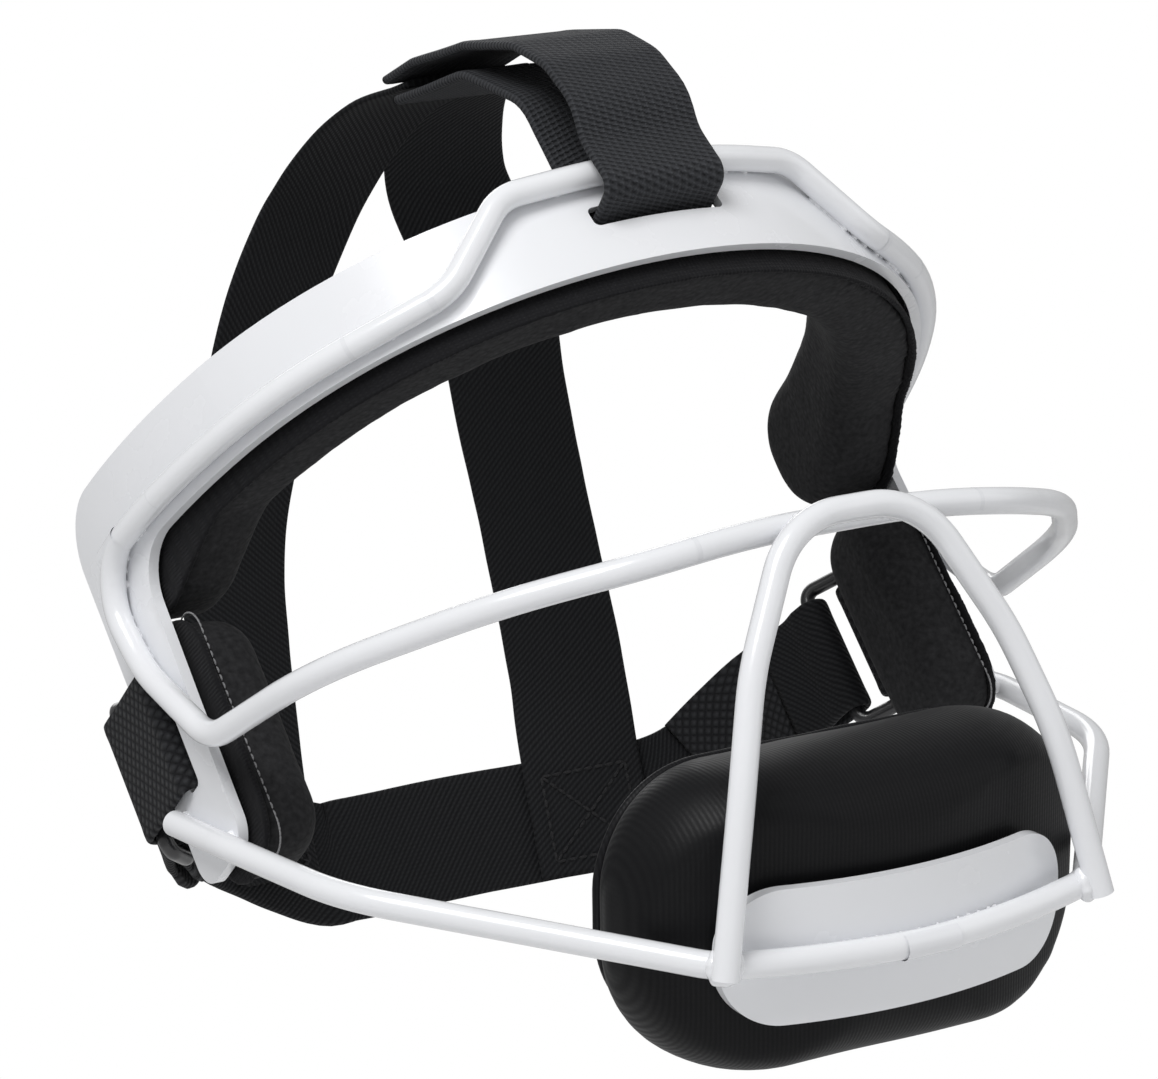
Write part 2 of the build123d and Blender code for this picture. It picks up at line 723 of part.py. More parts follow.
def back_strap_stations(inset, side):
    """Half of the back strap as it lies on the left, from the middle to the side, moved inwards."""
    rows = middle_strap_shares + (left_strap_shares if side > 0 else right_strap_shares)
    shares = [
        (Vector(INNER_HALF_WIDTH * x, BACK_REACH * y, -BACK_STRAP_DROP * z), Vector(*across))
        for x, y, z, across in rows
    ]
    for x, v in left_end_shares if side > 0 else right_end_shares:
        place = from_band(INNER_HALF_WIDTH * x, BACK_REACH * v, slot_middle())
        shares.append((place, from_band(0, 0, -1)))
    moved = []
    for i, (centre, across) in enumerate(shares):
        ahead = shares[min(i + 1, len(shares) - 1)][0]
        behind = shares[max(i - 1, 0)][0]
        inward = across.cross(ahead - behind).normalized()
        moved.append((centre + inward * inset, across))
    return moved


def slot_middle():
    """Height of the middle of the strap slot in the band's frame."""
    return (SLOT_TOP + SLOT_BOTTOM) / 2


def back_strap():
    """Strap round the back of the head, from one side to the other."""
    left, right = (back_strap_stations(0, side) for side in (1, -1))
    right = [(Vector(-c.X, c.Y, c.Z), Vector(-a.X, a.Y, a.Z)) for c, a in right[:0:-1]]
    return ribbon(right + left)


def hook_tab(side):
    """End tab that grips the inner side of the back strap."""
    stations = back_strap_stations(STRAP_THICKNESS + TAIL_GAP, side)[-3:]
    return ribbon([(Vector(side * c.X, c.Y, c.Z), Vector(side * a.X, a.Y, a.Z)) for c, a in stations])


def ring_bar():
    """Middle of the ring's rear bar in the band's frame, the ring turned inwards on its front bar."""
    turn = radians(RING_TURN_DEG)
    plate_middle = INNER_HALF_WIDTH + PLATE_THICKNESS / 2
    front = RING_V - RING_LENGTH / 2
    return Vector(plate_middle - RING_LENGTH * sin(turn), front + RING_LENGTH * cos(turn), 0)


def strap_end(side):
    """Elastic end that runs round the rear bar of the ring and doubles back."""
    stations = back_strap_stations(0, side)
    inner = back_strap_stations(STRAP_THICKNESS + TAIL_GAP, side)
    start, tail, before = (
        Vector(place.X, place.Y, 0)
        for place in (band.to_local_coords(c) for c in (stations[-1][0], inner[-1][0], stations[-2][0]))
    )
    travel = (start - before).normalized()
    bar = ring_bar()
    ahead = (bar - start).normalized()
    out = Vector(-ahead.Y, ahead.X, 0)
    loop = RING_ROD / 2 + STRAP_GAP + STRAP_THICKNESS / 2
    points = [
        start,
        start + travel * (start_lead_share * (start.Y - bar.Y)),
        bar + (out - ahead) * loop,
        bar + (out + ahead) * loop,
        bar - (out - ahead) * loop,
        bar - (out + ahead) * loop,
        tail + travel * (tail_lead_share * (tail.Y - bar.Y)),
        tail,
    ]
    fold = arc_fit_share * loop
    rounds = [END_ROUND, fold, fold, fold, fold, END_ROUND]
    strap = band * Pos(0, 0, slot_middle()) * webbing([(p.X, p.Y) for p in points], rounds)
    return strap if side > 0 else strap.mirror(Plane.YZ)


def stitched_square(width, length):
    """Box stitch: a square of thread."""
    frame = Rectangle(width, length) - Rectangle(width - 2 * THREAD, length - 2 * THREAD)
    return extrude(frame, THREAD)


def crown_stitching():
    """Box stitch on the crown, over the layers that meet there."""
    bar_y, bar_z = bar_place()
    rear, fore = (
        Vector(STRAP_SHIFT, bar_y - bar_y * y, bar_z + (CROWN_HEIGHT - bar_z) * z)
        for y, z in top_outer_shares[:2]
    )
    along = (rear - fore).normalized()
    up = Vector(1, 0, 0).cross(along)
    middle = (rear + fore) / 2 + up * (STRAP_THICKNESS / 2 + COAT_FILM)
    place = Plane(origin=middle, x_dir=(1, 0, 0), z_dir=up)
    return place * stitched_square(stitch_share * STRAP_WIDTH, crown_stitch_share * STRAP_WIDTH)


def junction_stitching(side):
    """Box stitch where a rear strap ends on the back strap."""
    place, run, drop = junction(side)
    outward = run.cross(Vector(0, 0, -1))
    inner_face = place - outward * (STRAP_THICKNESS / 2 + COAT_FILM)
    square = stitched_square(stitch_share * STRAP_WIDTH, stitch_share * 2 * drop)
    stitch = Plane(origin=inner_face, x_dir=run, z_dir=-outward) * square
    return stitch if side > 0 else stitch.mirror(Plane.YZ)


# Side anchors
def side_tab(side):
    """Loop of plain webbing through the leg's slot, round its rear bar and the ring's front bar."""
    gap = PLATE_THICKNESS + 2 * TAB_PLAY
    front = SLOT_REAR - TAB_NOSE
    rear = RING_V - RING_LENGTH / 2 + RING_ROD / 2 + STRAP_GAP
    length = rear - front
    middle = (front + rear) / 2
    outer = SlotOverall(length + 2 * TAB_THICKNESS, gap + 2 * TAB_THICKNESS, rotation=90)
    loop = outer - SlotOverall(length, gap, rotation=90)
    height = SLOT_TOP - SLOT_BOTTOM - 2 * TAB_SIDE_MARGIN
    plate_middle = INNER_HALF_WIDTH + PLATE_THICKNESS / 2
    tab = band * Pos(side * plate_middle, middle, slot_middle() - height / 2) * extrude(loop, height)
    return tab


def strap_ring(side):
    """Rectangular ring of round rod between the side tab and the strap end."""
    high = STRAP_WIDTH / 2 + RING_SIDE_PLAY + RING_ROD / 2
    front = Vector(INNER_HALF_WIDTH + PLATE_THICKNESS / 2, RING_V - RING_LENGTH / 2, slot_middle())
    rear = ring_bar() + Vector(0, 0, slot_middle())
    rise = Vector(0, 0, high)
    corners = [front - rise, rear - rise, rear + rise, front + rise]
    path = FilletPolyline(*[Vector(side * c.X, c.Y, c.Z) for c in corners], radius=RING_ROUND, close=True)
    section = Plane(origin=path @ 0, z_dir=path % 0) * Circle(RING_ROD / 2)
    return band * sweep(section, path=path)


# Pieces
pieces = {}

jaw_half = jaw_points()
nose_half = nose_points()
pieces["upper_wire"] = upper_wire()
pieces["jaw_wire"] = rod(jaw_half + mirrored(jaw_half), JAW_ROUNDS + JAW_ROUNDS[::-1])
nose = rod(nose_half + mirrored(nose_half), NOSE_ROUNDS + NOSE_ROUNDS[::-1])
pieces["nose_wire"] = nose - pieces["jaw_wire"]
sheet = layer(0, PLATE_THICKNESS, forehead_profile()) - slot_cutter() - top_slot()
pieces["forehead_plate"] = band * sheet
pieces["chin_plate"] = chin_strip(0, CHIN_PLATE_THICKNESS, 0)

tape_face = TAPE_THICKNESS + PEEL_GAP
foam_face = tape_face + BACKING_THICKNESS
pad_face = foam_face + PAD_THICKNESS
pieces["forehead_hook_tape"] = band * (layer(-TAPE_THICKNESS, 0, tape_profile()) - strap_recess())
backing = layer(-foam_face, -tape_face, forehead_pad_profile(0))
pieces["forehead_pad_backing"] = band * (backing - pad_notch())
foam = layer(-pad_face, -foam_face, forehead_pad_profile(BACKING_THICKNESS))
pieces["forehead_pad_foam"] = band * (crowned(foam, -pad_face, PAD_CROWN_ROUND) - pad_notch())

chin_face = CHIN_PLATE_THICKNESS + TAPE_THICKNESS
patch_face = chin_face + PEEL_GAP
cushion_face = patch_face + BACKING_THICKNESS
pieces["chin_hook_tape"] = chin_strip(CHIN_PLATE_THICKNESS, chin_face, TAPE_INSET)
pieces["chin_cup_patch"] = chin_strip(patch_face, cushion_face, TAPE_INSET)
cushion = cup_body(0)
core = cup_body(COVER_THICKNESS)
hollow = cup_hollow(0)
socket = cup_hollow(LINING_THICKNESS)
pieces["chin_cup_cover"] = chin * (cushion - core - socket)
pieces["chin_cup_foam"] = chin * (core - socket)
pieces["chin_cup_lining"] = chin * (socket - hollow)
pieces["chin_cup_binding"] = chin * cup_binding()

pieces["top_strap"] = top_strap()
pieces["back_strap"] = back_strap()
pieces["crown_stitching"] = crown_stitching()
for side, name in ((-1, "right"), (1, "left")):
    pieces[f"{name}_leg_hook_tape"] = band * layer(-TAPE_THICKNESS, 0, leg_tape_profile(side))
    pieces[f"{name}_jaw_pad_backing"] = band * (
        layer(-foam_face, -tape_face, jaw_pad_profile(0, side)) - tab_recess(side)
    )
    foam = layer(-pad_face + JAW_PAD_SLIMMER, -foam_face, jaw_pad_profile(BACKING_THICKNESS, side))
    foam = crowned(foam, -pad_face + JAW_PAD_SLIMMER, JAW_CROWN_ROUND)
    pieces[f"{name}_jaw_pad_foam"] = band * (foam - tab_recess(side))
    pieces[f"{name}_rear_strap"] = rear_strap(side)
    pieces[f"{name}_strap_end"] = strap_end(side)
    pieces[f"{name}_hook_tab"] = hook_tab(side)
    pieces[f"{name}_junction_stitching"] = junction_stitching(side)
    pieces[f"{name}_side_tab"] = side_tab(side)
    pieces[f"{name}_strap_ring"] = strap_ring(side)

for name, shape in pieces.items():
    export_step(shape, f"parts/{name}.step")
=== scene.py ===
"""Looks of a softball face guard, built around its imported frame."""

from __future__ import annotations

import json
import logging
import math
from dataclasses import dataclass
from enum import Enum
from typing import Callable, Iterable, Sequence

import bmesh
import bpy
import numpy as np
from mathutils import Matrix, Vector, noise
from mathutils.bvhtree import BVHTree

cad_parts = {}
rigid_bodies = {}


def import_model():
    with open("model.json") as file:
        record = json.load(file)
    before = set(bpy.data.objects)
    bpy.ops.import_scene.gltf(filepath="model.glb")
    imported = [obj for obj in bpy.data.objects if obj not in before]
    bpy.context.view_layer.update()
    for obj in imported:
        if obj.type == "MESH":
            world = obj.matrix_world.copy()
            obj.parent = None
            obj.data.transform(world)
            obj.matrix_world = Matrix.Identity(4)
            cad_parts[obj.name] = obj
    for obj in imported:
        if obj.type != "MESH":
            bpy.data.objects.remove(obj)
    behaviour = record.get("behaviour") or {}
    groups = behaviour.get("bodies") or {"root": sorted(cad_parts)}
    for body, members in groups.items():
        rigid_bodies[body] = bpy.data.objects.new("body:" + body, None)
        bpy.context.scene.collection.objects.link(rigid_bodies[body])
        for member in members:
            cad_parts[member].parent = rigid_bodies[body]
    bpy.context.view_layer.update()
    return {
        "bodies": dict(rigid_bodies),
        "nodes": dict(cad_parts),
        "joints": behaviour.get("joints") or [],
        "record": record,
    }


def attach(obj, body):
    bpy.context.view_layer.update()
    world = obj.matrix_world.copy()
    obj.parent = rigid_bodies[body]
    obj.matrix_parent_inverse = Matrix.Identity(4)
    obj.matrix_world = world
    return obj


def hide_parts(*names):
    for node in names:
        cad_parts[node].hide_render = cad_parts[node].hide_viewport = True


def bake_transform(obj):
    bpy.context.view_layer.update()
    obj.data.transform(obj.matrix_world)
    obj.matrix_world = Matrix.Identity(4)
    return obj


LOG = logging.getLogger("face_guard")
MM = 0.001
SIDES = ((-1, "right"), (1, "left"))


# Shader arithmetic


class Value:
    """A shader socket that takes part in arithmetic."""

    def __init__(self, tree: bpy.types.NodeTree, socket: bpy.types.NodeSocket) -> None:
        self.tree = tree
        self.socket = socket

    def maths(self, operation: str, *others: "Value | float") -> "Value":
        """Applies a maths node.

        Args:
            operation: The node's operation.
            others: Further operands, sockets or plain numbers.

        Returns:
            The result as a new value.
        """
        node = self.tree.nodes.new("ShaderNodeMath")
        node.operation = operation
        for index, item in enumerate((self, *others)):
            if isinstance(item, Value):
                self.tree.links.new(item.socket, node.inputs[index])
            else:
                node.inputs[index].default_value = float(item)
        return Value(self.tree, node.outputs[0])

    def __add__(self, other: "Value | float") -> "Value":
        return self.maths("ADD", other)

    def __sub__(self, other: "Value | float") -> "Value":
        return self.maths("SUBTRACT", other)

    def __mul__(self, other: "Value | float") -> "Value":
        return self.maths("MULTIPLY", other)

    def __truediv__(self, other: "Value | float") -> "Value":
        return self.maths("DIVIDE", other)

    def sine(self) -> "Value":
        """Sine of the value."""
        return self.maths("SINE")

    def absolute(self) -> "Value":
        """Value without its sign."""
        return self.maths("ABSOLUTE")

    def power(self, exponent: float) -> "Value":
        """Value raised to a power."""
        return self.maths("POWER", exponent)

    def wave(self, pitch: float, shift: "Value | float" = 0.0) -> "Value":
        """Sine wave of a length in metres, between 0 and 1."""
        turned = self * (2 * math.pi / pitch) + shift
        return turned.sine() * 0.5 + 0.5

    def clamp(self, low: float = 0.0, high: float = 1.0) -> "Value":
        """Value held between two limits."""
        return self.maths("MAXIMUM", low).maths("MINIMUM", high)


class Shader:
    """A material with one principled surface and helpers for its inputs."""

    def __init__(self, name: str) -> None:
        self.material = bpy.data.materials.new(name)
        self.material.use_nodes = True
        self.tree = self.material.node_tree
        self.surface = self.tree.nodes["Principled BSDF"]

    def constant(self, **values: float) -> None:
        """Sets plain values on the surface's sockets, named with underscores for spaces."""
        for name, value in values.items():
            self.surface.inputs[name.replace("_", " ")].default_value = value

    def place(self) -> tuple[Value, Value, Value]:
        """Coordinates of the shaded point in the object's own frame, in metres."""
        node = self.tree.nodes.new("ShaderNodeTexCoord")
        parts = self.tree.nodes.new("ShaderNodeSeparateXYZ")
        self.tree.links.new(node.outputs["Object"], parts.inputs[0])
        return tuple(Value(self.tree, parts.outputs[i]) for i in range(3))

    def cloth_place(self) -> tuple[Value, Value]:
        """Distances across and along a strap, in metres."""
        node = self.tree.nodes.new("ShaderNodeUVMap")
        node.uv_map = "weave"
        parts = self.tree.nodes.new("ShaderNodeSeparateXYZ")
        self.tree.links.new(node.outputs[0], parts.inputs[0])
        return Value(self.tree, parts.outputs[0]), Value(self.tree, parts.outputs[1])

    def texture(self, kind: str, **inputs: float) -> Value:
        """Texture over the object's own frame."""
        node = self.tree.nodes.new(kind)
        for name, value in inputs.items():
            node.inputs[name].default_value = value
        coordinate = self.tree.nodes.new("ShaderNodeTexCoord")
        self.tree.links.new(coordinate.outputs["Object"], node.inputs["Vector"])
        return Value(self.tree, node.outputs[0])

    def cloud(self, scale: float, detail: float = 2.0) -> Value:
        """Smooth noise."""
        return self.texture("ShaderNodeTexNoise", Scale=scale, Detail=detail)

    def cells(self, scale: float) -> Value:
        """Distance to the nearest of scattered points."""
        return self.texture("ShaderNodeTexVoronoi", Scale=scale)

    def edges(self, radius: float) -> Value:
        """How far the rounded normal turns from the true one, 0 away from edges."""
        bevel = self.tree.nodes.new("ShaderNodeBevel")
        bevel.inputs["Radius"].default_value = radius
        geometry = self.tree.nodes.new("ShaderNodeNewGeometry")
        product = self.tree.nodes.new("ShaderNodeVectorMath")
        product.operation = "DOT_PRODUCT"
        self.tree.links.new(bevel.outputs[0], product.inputs[0])
        self.tree.links.new(geometry.outputs["Normal"], product.inputs[1])
        return (Value(self.tree, product.outputs["Value"]) * -1.0 + 1.0).clamp()

    def colour(self, factor: Value, low: Sequence[float], high: Sequence[float]) -> None:
        """Base colour between two colours."""
        node = self.tree.nodes.new("ShaderNodeMix")
        node.data_type = "RGBA"
        self.tree.links.new(factor.socket, node.inputs[0])
        node.inputs[6].default_value = (*low, 1.0)
        node.inputs[7].default_value = (*high, 1.0)
        self.tree.links.new(node.outputs[2], self.surface.inputs["Base Color"])

    def roughness(self, value: Value) -> None:
        """Roughness from a value."""
        self.tree.links.new(value.socket, self.surface.inputs["Roughness"])

    def bump(self, layers: Iterable[tuple[Value, float]]) -> None:
        """Stacks bumps, each a height between 0 and 1 and its depth in metres."""
        last = None
        for height, depth in layers:
            node = self.tree.nodes.new("ShaderNodeBump")
            node.inputs["Strength"].default_value = 1.0
            node.inputs["Distance"].default_value = depth
            self.tree.links.new(height.socket, node.inputs["Height"])
            if last is not None:
                self.tree.links.new(last.outputs[0], node.inputs["Normal"])
            last = node
        self.tree.links.new(last.outputs[0], self.surface.inputs["Normal"])


# Finishes


class Weave(Enum):
    """How the threads of a strap cross."""

    COARSE_ELASTIC = "coarse elastic"
    TWILL = "twill"
    PLAIN = "plain"


@dataclass(frozen=True)
class CoatFinish:
    """Gloss coating over steel, with a faint ripple, random tone and painted light on its edges and creases:
    painted shade on the white pieces, a painted highlight on the dark ring.
    """

    name: str
    colour: tuple[float, float, float]
    tone_and_painted_edge: tuple[float, float, float]
    gloss: float
    ripple: float

    def build(self) -> bpy.types.Material:
        """Returns the material."""
        shader = Shader(self.name)
        tone = shader.cloud(28.0, 3.0)
        painted_edge_mask = shader.edges(0.6 * MM)
        # Painted light: edges and creases turn toward the second colour. That is painted shade on the white
        # coat and a painted highlight on the dark ring; the cloud adds random tone.
        shader.colour((tone * 0.35 + painted_edge_mask * 0.5).clamp(), self.colour, self.tone_and_painted_edge)
        shader.roughness((shader.cloud(90.0, 4.0) * 0.12 + self.gloss).clamp())
        shader.bump(((shader.cloud(240.0, 2.0), self.ripple), (shader.cloud(45.0, 1.0), self.ripple * 2)))
        shader.constant(Coat_Weight=0.6, Coat_Roughness=0.08, IOR=1.5)
        return shader.material


@dataclass(frozen=True)
class WeaveFinish:
    """Woven strap, its threads following the strap."""

    name: str
    weave: Weave
    low: tuple[float, float, float]
    high: tuple[float, float, float]
    across: float
    along: float
    depth: float

    def build(self) -> bpy.types.Material:
        """Returns the material."""
        shader = Shader(self.name)
        u, v = shader.cloth_place()
        wander = shader.cloud(60.0, 2.0) * 0.9
        if self.weave is Weave.PLAIN:
            threads = (u.wave(self.across, wander) - v.wave(self.along, wander)).absolute()
        elif self.weave is Weave.TWILL:
            slope = u * (self.along / self.across) + v
            threads = slope.wave(self.along, wander) * (u.wave(self.across * 0.5) * 0.35 + 0.65)
        else:
            slope = u * (self.along * 0.5 / self.across) + v
            threads = slope.wave(self.along, wander) * 0.55 + u.wave(self.across, wander) * 0.3
            threads = threads + v.wave(self.along * 0.5) * u.wave(self.across * 0.5) * 0.25
        fuzz = shader.cloud(2200.0, 2.0)
        shader.colour((threads * 0.75 + fuzz * 0.35).clamp(), self.low, self.high)
        shader.roughness((threads * -0.2 + 0.82).clamp())
        shader.bump(((threads, self.depth), (fuzz, self.depth * 0.25)))
        shader.constant(Sheen_Weight=0.03, Sheen_Roughness=0.45, Specular_IOR_Level=0.16)
        return shader.material


@dataclass(frozen=True)
class KnitFinish:
    """Fine ribbed knit with a satin sheen."""

    name: str
    low: tuple[float, float, float]
    high: tuple[float, float, float]
    rib: float
    course: float

    def build(self) -> bpy.types.Material:
        """Returns the material."""
        shader = Shader(self.name)
        x, y, z = shader.place()
        level = z * 0.94 - y * 0.342
        wander = shader.cloud(40.0, 2.0) * 1.2
        ribs = x.wave(self.rib, wander)
        loops = level.wave(self.course, wander)
        pattern = ribs * 0.75 + ribs * loops * 0.25
        fuzz = shader.cloud(1800.0, 2.0)
        shader.colour((pattern * 0.6 + fuzz * 0.3).clamp(), self.low, self.high)
        shader.roughness((pattern * -0.16 + 0.55).clamp())
        shader.bump(((pattern, 0.02 * MM), (fuzz, 0.02 * MM), (shader.cloud(24.0, 2.0), 0.4 * MM)))
        shader.constant(Sheen_Weight=0.03, Sheen_Roughness=0.35, Specular_IOR_Level=0.16)
        return shader.material


@dataclass(frozen=True)
class FoamFinish:
    """Closed-cell foam with pores and pale specks."""

    name: str
    low: tuple[float, float, float]
    high: tuple[float, float, float]
    pores: float

    def build(self) -> bpy.types.Material:
        """Returns the material."""
        shader = Shader(self.name)
        pores = shader.cells(self.pores)
        specks = shader.cloud(900.0, 3.0)
        patches = shader.cloud(35.0, 3.0)
        shader.colour(((specks - 0.35) * 1.5 + patches * 0.3).clamp(), self.low, self.high)
        shader.roughness((pores * 0.2 + 0.68).clamp())
        shader.bump(((pores, 0.12 * MM), (patches, 0.5 * MM)))
        shader.constant(Sheen_Weight=0.02, Sheen_Roughness=0.5, Specular_IOR_Level=0.16)
        return shader.material


@dataclass(frozen=True)
class PileFinish:
    """Hook tape, loop backing or thread: short fibres with uneven shade."""

    name: str
    low: tuple[float, float, float]
    high: tuple[float, float, float]
    pitch: float
    depth: float

    def build(self) -> bpy.types.Material:
        """Returns the material."""
        shader = Shader(self.name)
        x, y, z = shader.place()
        rows = (z + y * 0.4).wave(self.pitch) * x.wave(self.pitch)
        fibres = shader.cloud(1500.0, 4.0)
        shader.colour((rows * 0.3 + fibres * 0.6).clamp(), self.low, self.high)
        shader.roughness((fibres * 0.1 + 0.85).clamp())
        shader.bump(((rows, self.depth), (fibres, self.depth * 0.7)))
        shader.constant(Sheen_Weight=0.03, Sheen_Roughness=0.6, Specular_IOR_Level=0.16)
        return shader.material


BLACK = (0.004, 0.004, 0.005)
FINISHES: dict[str, CoatFinish | WeaveFinish | KnitFinish | FoamFinish | PileFinish] = {
    # Each coat's second colour is its painted edge shade, or on the ring its painted edge highlight, mixed
    # with random tone.
    "coated_wire": CoatFinish("coated_wire", (0.9, 0.91, 0.935), (0.8, 0.81, 0.84), 0.16, 0.015 * MM),
    "coated_plate": CoatFinish("coated_plate", (0.88, 0.89, 0.915), (0.79, 0.8, 0.83), 0.2, 0.02 * MM),
    "ring_plastic": CoatFinish("ring_plastic", (0.014, 0.014, 0.016), (0.02, 0.02, 0.022), 0.34, 0.02 * MM),
    "elastic": WeaveFinish(
        "elastic", Weave.TWILL, BLACK, (0.019, 0.02, 0.022), 1.6 * MM, 1.3 * MM, 0.16 * MM
    ),
    "top_elastic": WeaveFinish(
        "top_elastic", Weave.COARSE_ELASTIC, BLACK, (0.06, 0.063, 0.07), 1.5 * MM, 1.1 * MM, 0.5 * MM
    ),
    "webbing": WeaveFinish("webbing", Weave.PLAIN, BLACK, (0.03, 0.031, 0.034), 2.4 * MM, 2.4 * MM, 0.4 * MM),
    "cup_knit": KnitFinish("cup_knit", BLACK, (0.008, 0.0083, 0.009), 0.8 * MM, 1.1 * MM),
    "cup_lining": PileFinish("cup_lining", BLACK, (0.014, 0.014, 0.015), 0.9 * MM, 0.08 * MM),
    "binding": KnitFinish("binding", BLACK, (0.016, 0.016, 0.018), 0.7 * MM, 0.9 * MM),
    "pad_foam": FoamFinish("pad_foam", (0.009, 0.009, 0.01), (0.034, 0.034, 0.036), 800.0),
    "pad_backing": PileFinish("pad_backing", BLACK, (0.016, 0.016, 0.018), 0.8 * MM, 0.1 * MM),
    "hook_tape": PileFinish("hook_tape", BLACK, (0.022, 0.022, 0.024), 1.3 * MM, 0.25 * MM),
    "pad_thread": PileFinish("pad_thread", (0.12, 0.12, 0.125), (0.4, 0.4, 0.41), 0.5 * MM, 0.05 * MM),
    "thread": PileFinish("thread", (0.012, 0.012, 0.013), (0.05, 0.05, 0.053), 0.5 * MM, 0.05 * MM),
}


class Wardrobe:
    """Builds each finish once and dresses pieces with it."""

    def __init__(self) -> None:
        self.made: dict[str, bpy.types.Material] = {}

    def get(self, name: str) -> bpy.types.Material:
        """Returns the material of a finish.

        Args:
            name: The finish's name.

        Returns:
            The Blender material.
        """
        if name not in self.made:
            self.made[name] = FINISHES[name].build()
        return self.made[name]

    def dress(self, piece: bpy.types.Object, *names: str) -> None:
        """Gives a piece its finishes, one slot each."""
        piece.data.materials.clear()
        for name in names:
            piece.data.materials.append(self.get(name))


# Frames and paths


@dataclass(frozen=True)
class Tilted:
    """A frame turned about the X axis, whose second axis points to the rear and third up."""

    degrees: float

    def out(self, x: float, rear: float, up: float) -> Vector:
        """Point or direction of this frame in the object's frame."""
        c = math.cos(math.radians(self.degrees))
        s = math.sin(math.radians(self.degrees))
        return Vector((x, rear * c + up * s, -rear * s + up * c))


BAND = Tilted(24.0)
CHIN = Tilted(-20.0)


@dataclass(frozen=True)
class Station:
    """Middle of a strap and the direction of its width there."""

    centre: Vector
    across: Vector


def rounded(points: Sequence[Vector], rounds: Sequence[float]) -> list[Vector]:
    """Rounds the corners of a line of points.

    Args:
        points: The corners, the two ends included.
        rounds: A radius for each inner corner.

    Returns:
        Points along the straight runs and arcs.
    """
    out = [points[0]]
    for before, here, after, radius in zip(points, points[1:], points[2:], rounds):
        first = (here - before).normalized()
        second = (after - here).normalized()
        turn = first.angle(second)
        if turn < 0.02:
            out.append(here)
            continue
        reach = min(
            radius * math.tan(turn / 2), 0.49 * (here - before).length, 0.49 * (after - here).length
        )
        radius = reach / math.tan(turn / 2)
        start = here - first * reach
        centre = here + (second - first).normalized() * radius / math.cos(turn / 2)
        spoke = (start - centre).normalized()
        steps = max(3, int(math.degrees(turn) / 9))
        for k in range(steps + 1):
            angle = turn * k / steps
            out.append(centre + (spoke * math.cos(angle) + first * math.sin(angle)) * radius)
    out.append(points[-1])
    return out


def spread(points: Sequence[Vector], spacing: float) -> list[Vector]:
    """Adds points so that neighbours lie no further apart than a spacing."""
    out = [points[0]]
    for a, b in zip(points, points[1:]):
        count = max(1, math.ceil((b - a).length / spacing))
        out.extend(a.lerp(b, k / count) for k in range(1, count + 1))
    return out


def flowing(stations: Sequence[Station], spacing: float) -> list[Station]:
    """Stations along one smooth curve through the given ones."""
    ends = [stations[0], *stations, stations[-1]]
    out: list[Station] = []
    for i in range(len(stations) - 1):
        run = (ends[i + 2].centre - ends[i + 1].centre).length
        count = max(2, math.ceil(run / spacing))
        for k in range(count):
            t = k / count
            weights = (
                0.5 * (-t + 2 * t * t - t**3),
                0.5 * (2 - 5 * t * t + 3 * t**3),
                0.5 * (t + 4 * t * t - 3 * t**3),
                0.5 * (t**3 - t * t),
            )
            centre = sum((s.centre * w for s, w in zip(ends[i : i + 4], weights)), Vector())
            across = sum((s.across * w for s, w in zip(ends[i : i + 4], weights)), Vector())
            out.append(Station(centre, across.normalized()))
    out.append(stations[-1])
    return out


# Mesh helpers


def new_piece(name: str, vertices: Sequence, faces: Sequence, uv: dict | None = None) -> bpy.types.Object:
    """Makes a mesh object in the object's frame, smoothly shaded.

    Args:
        name: The object's name.
        vertices: Its points in metres.
        faces: Its faces as lists of point numbers.
        uv: Distances across and along for each face corner, by face and corner.

    Returns:
        The linked object.
    """
    mesh = bpy.data.meshes.new(name)
    mesh.from_pydata([tuple(v) for v in vertices], [], [tuple(f) for f in faces])
    if uv is not None:
        layer = mesh.uv_layers.new(name="weave")
        for polygon in mesh.polygons:
            for corner, loop in enumerate(polygon.loop_indices):
                layer.data[loop].uv = uv[polygon.index][corner]
    mesh.validate()
    piece = bpy.data.objects.new(name, mesh)
    bpy.context.scene.collection.objects.link(piece)
    smooth(piece)
    return piece


def pick(piece: bpy.types.Object) -> None:
    """Makes one object the only selected and active one."""
    bpy.ops.object.select_all(action="DESELECT")
    piece.select_set(True)
    bpy.context.view_layer.objects.active = piece


def modify(piece: bpy.types.Object, kind: str, **settings: object) -> None:
    """Adds a modifier with its settings and applies it."""
    pick(piece)
    bpy.ops.object.modifier_add(type=kind)
    modifier = piece.modifiers[-1]
    for key, value in settings.items():
        setattr(modifier, key, value)
    bpy.ops.object.modifier_apply(modifier=modifier.name)


def smooth(piece: bpy.types.Object) -> None:
    """Shades one piece smoothly."""
    pick(piece)
    bpy.ops.object.shade_smooth()


def tube(rows: int, ring: int, first: int = 0) -> list[list[int]]:
    """Faces between neighbouring closed rows of points.

    Args:
        rows: How many rows there are.
        ring: How many points a row has.
        first: Number of the first point.

    Returns:
        Four point numbers for each face, row by row.
    """
    corners = [(first + i * ring, j, (j + 1) % ring) for i in range(rows - 1) for j in range(ring)]
    return [[row + j, row + k, row + ring + k, row + ring + j] for row, j, k in corners]


def ripple(piece: bpy.types.Object, size: float, depth: float, seed: float) -> None:
    """Moves a mesh's points along their normals by smooth noise of a size and depth in metres."""
    shift = Vector((seed, seed * 1.7, -seed))
    for vertex, normal in zip(piece.data.vertices, [n.vector.copy() for n in piece.data.vertex_normals]):
        vertex.co += normal * depth * noise.noise(vertex.co / size + shift)


# Straps


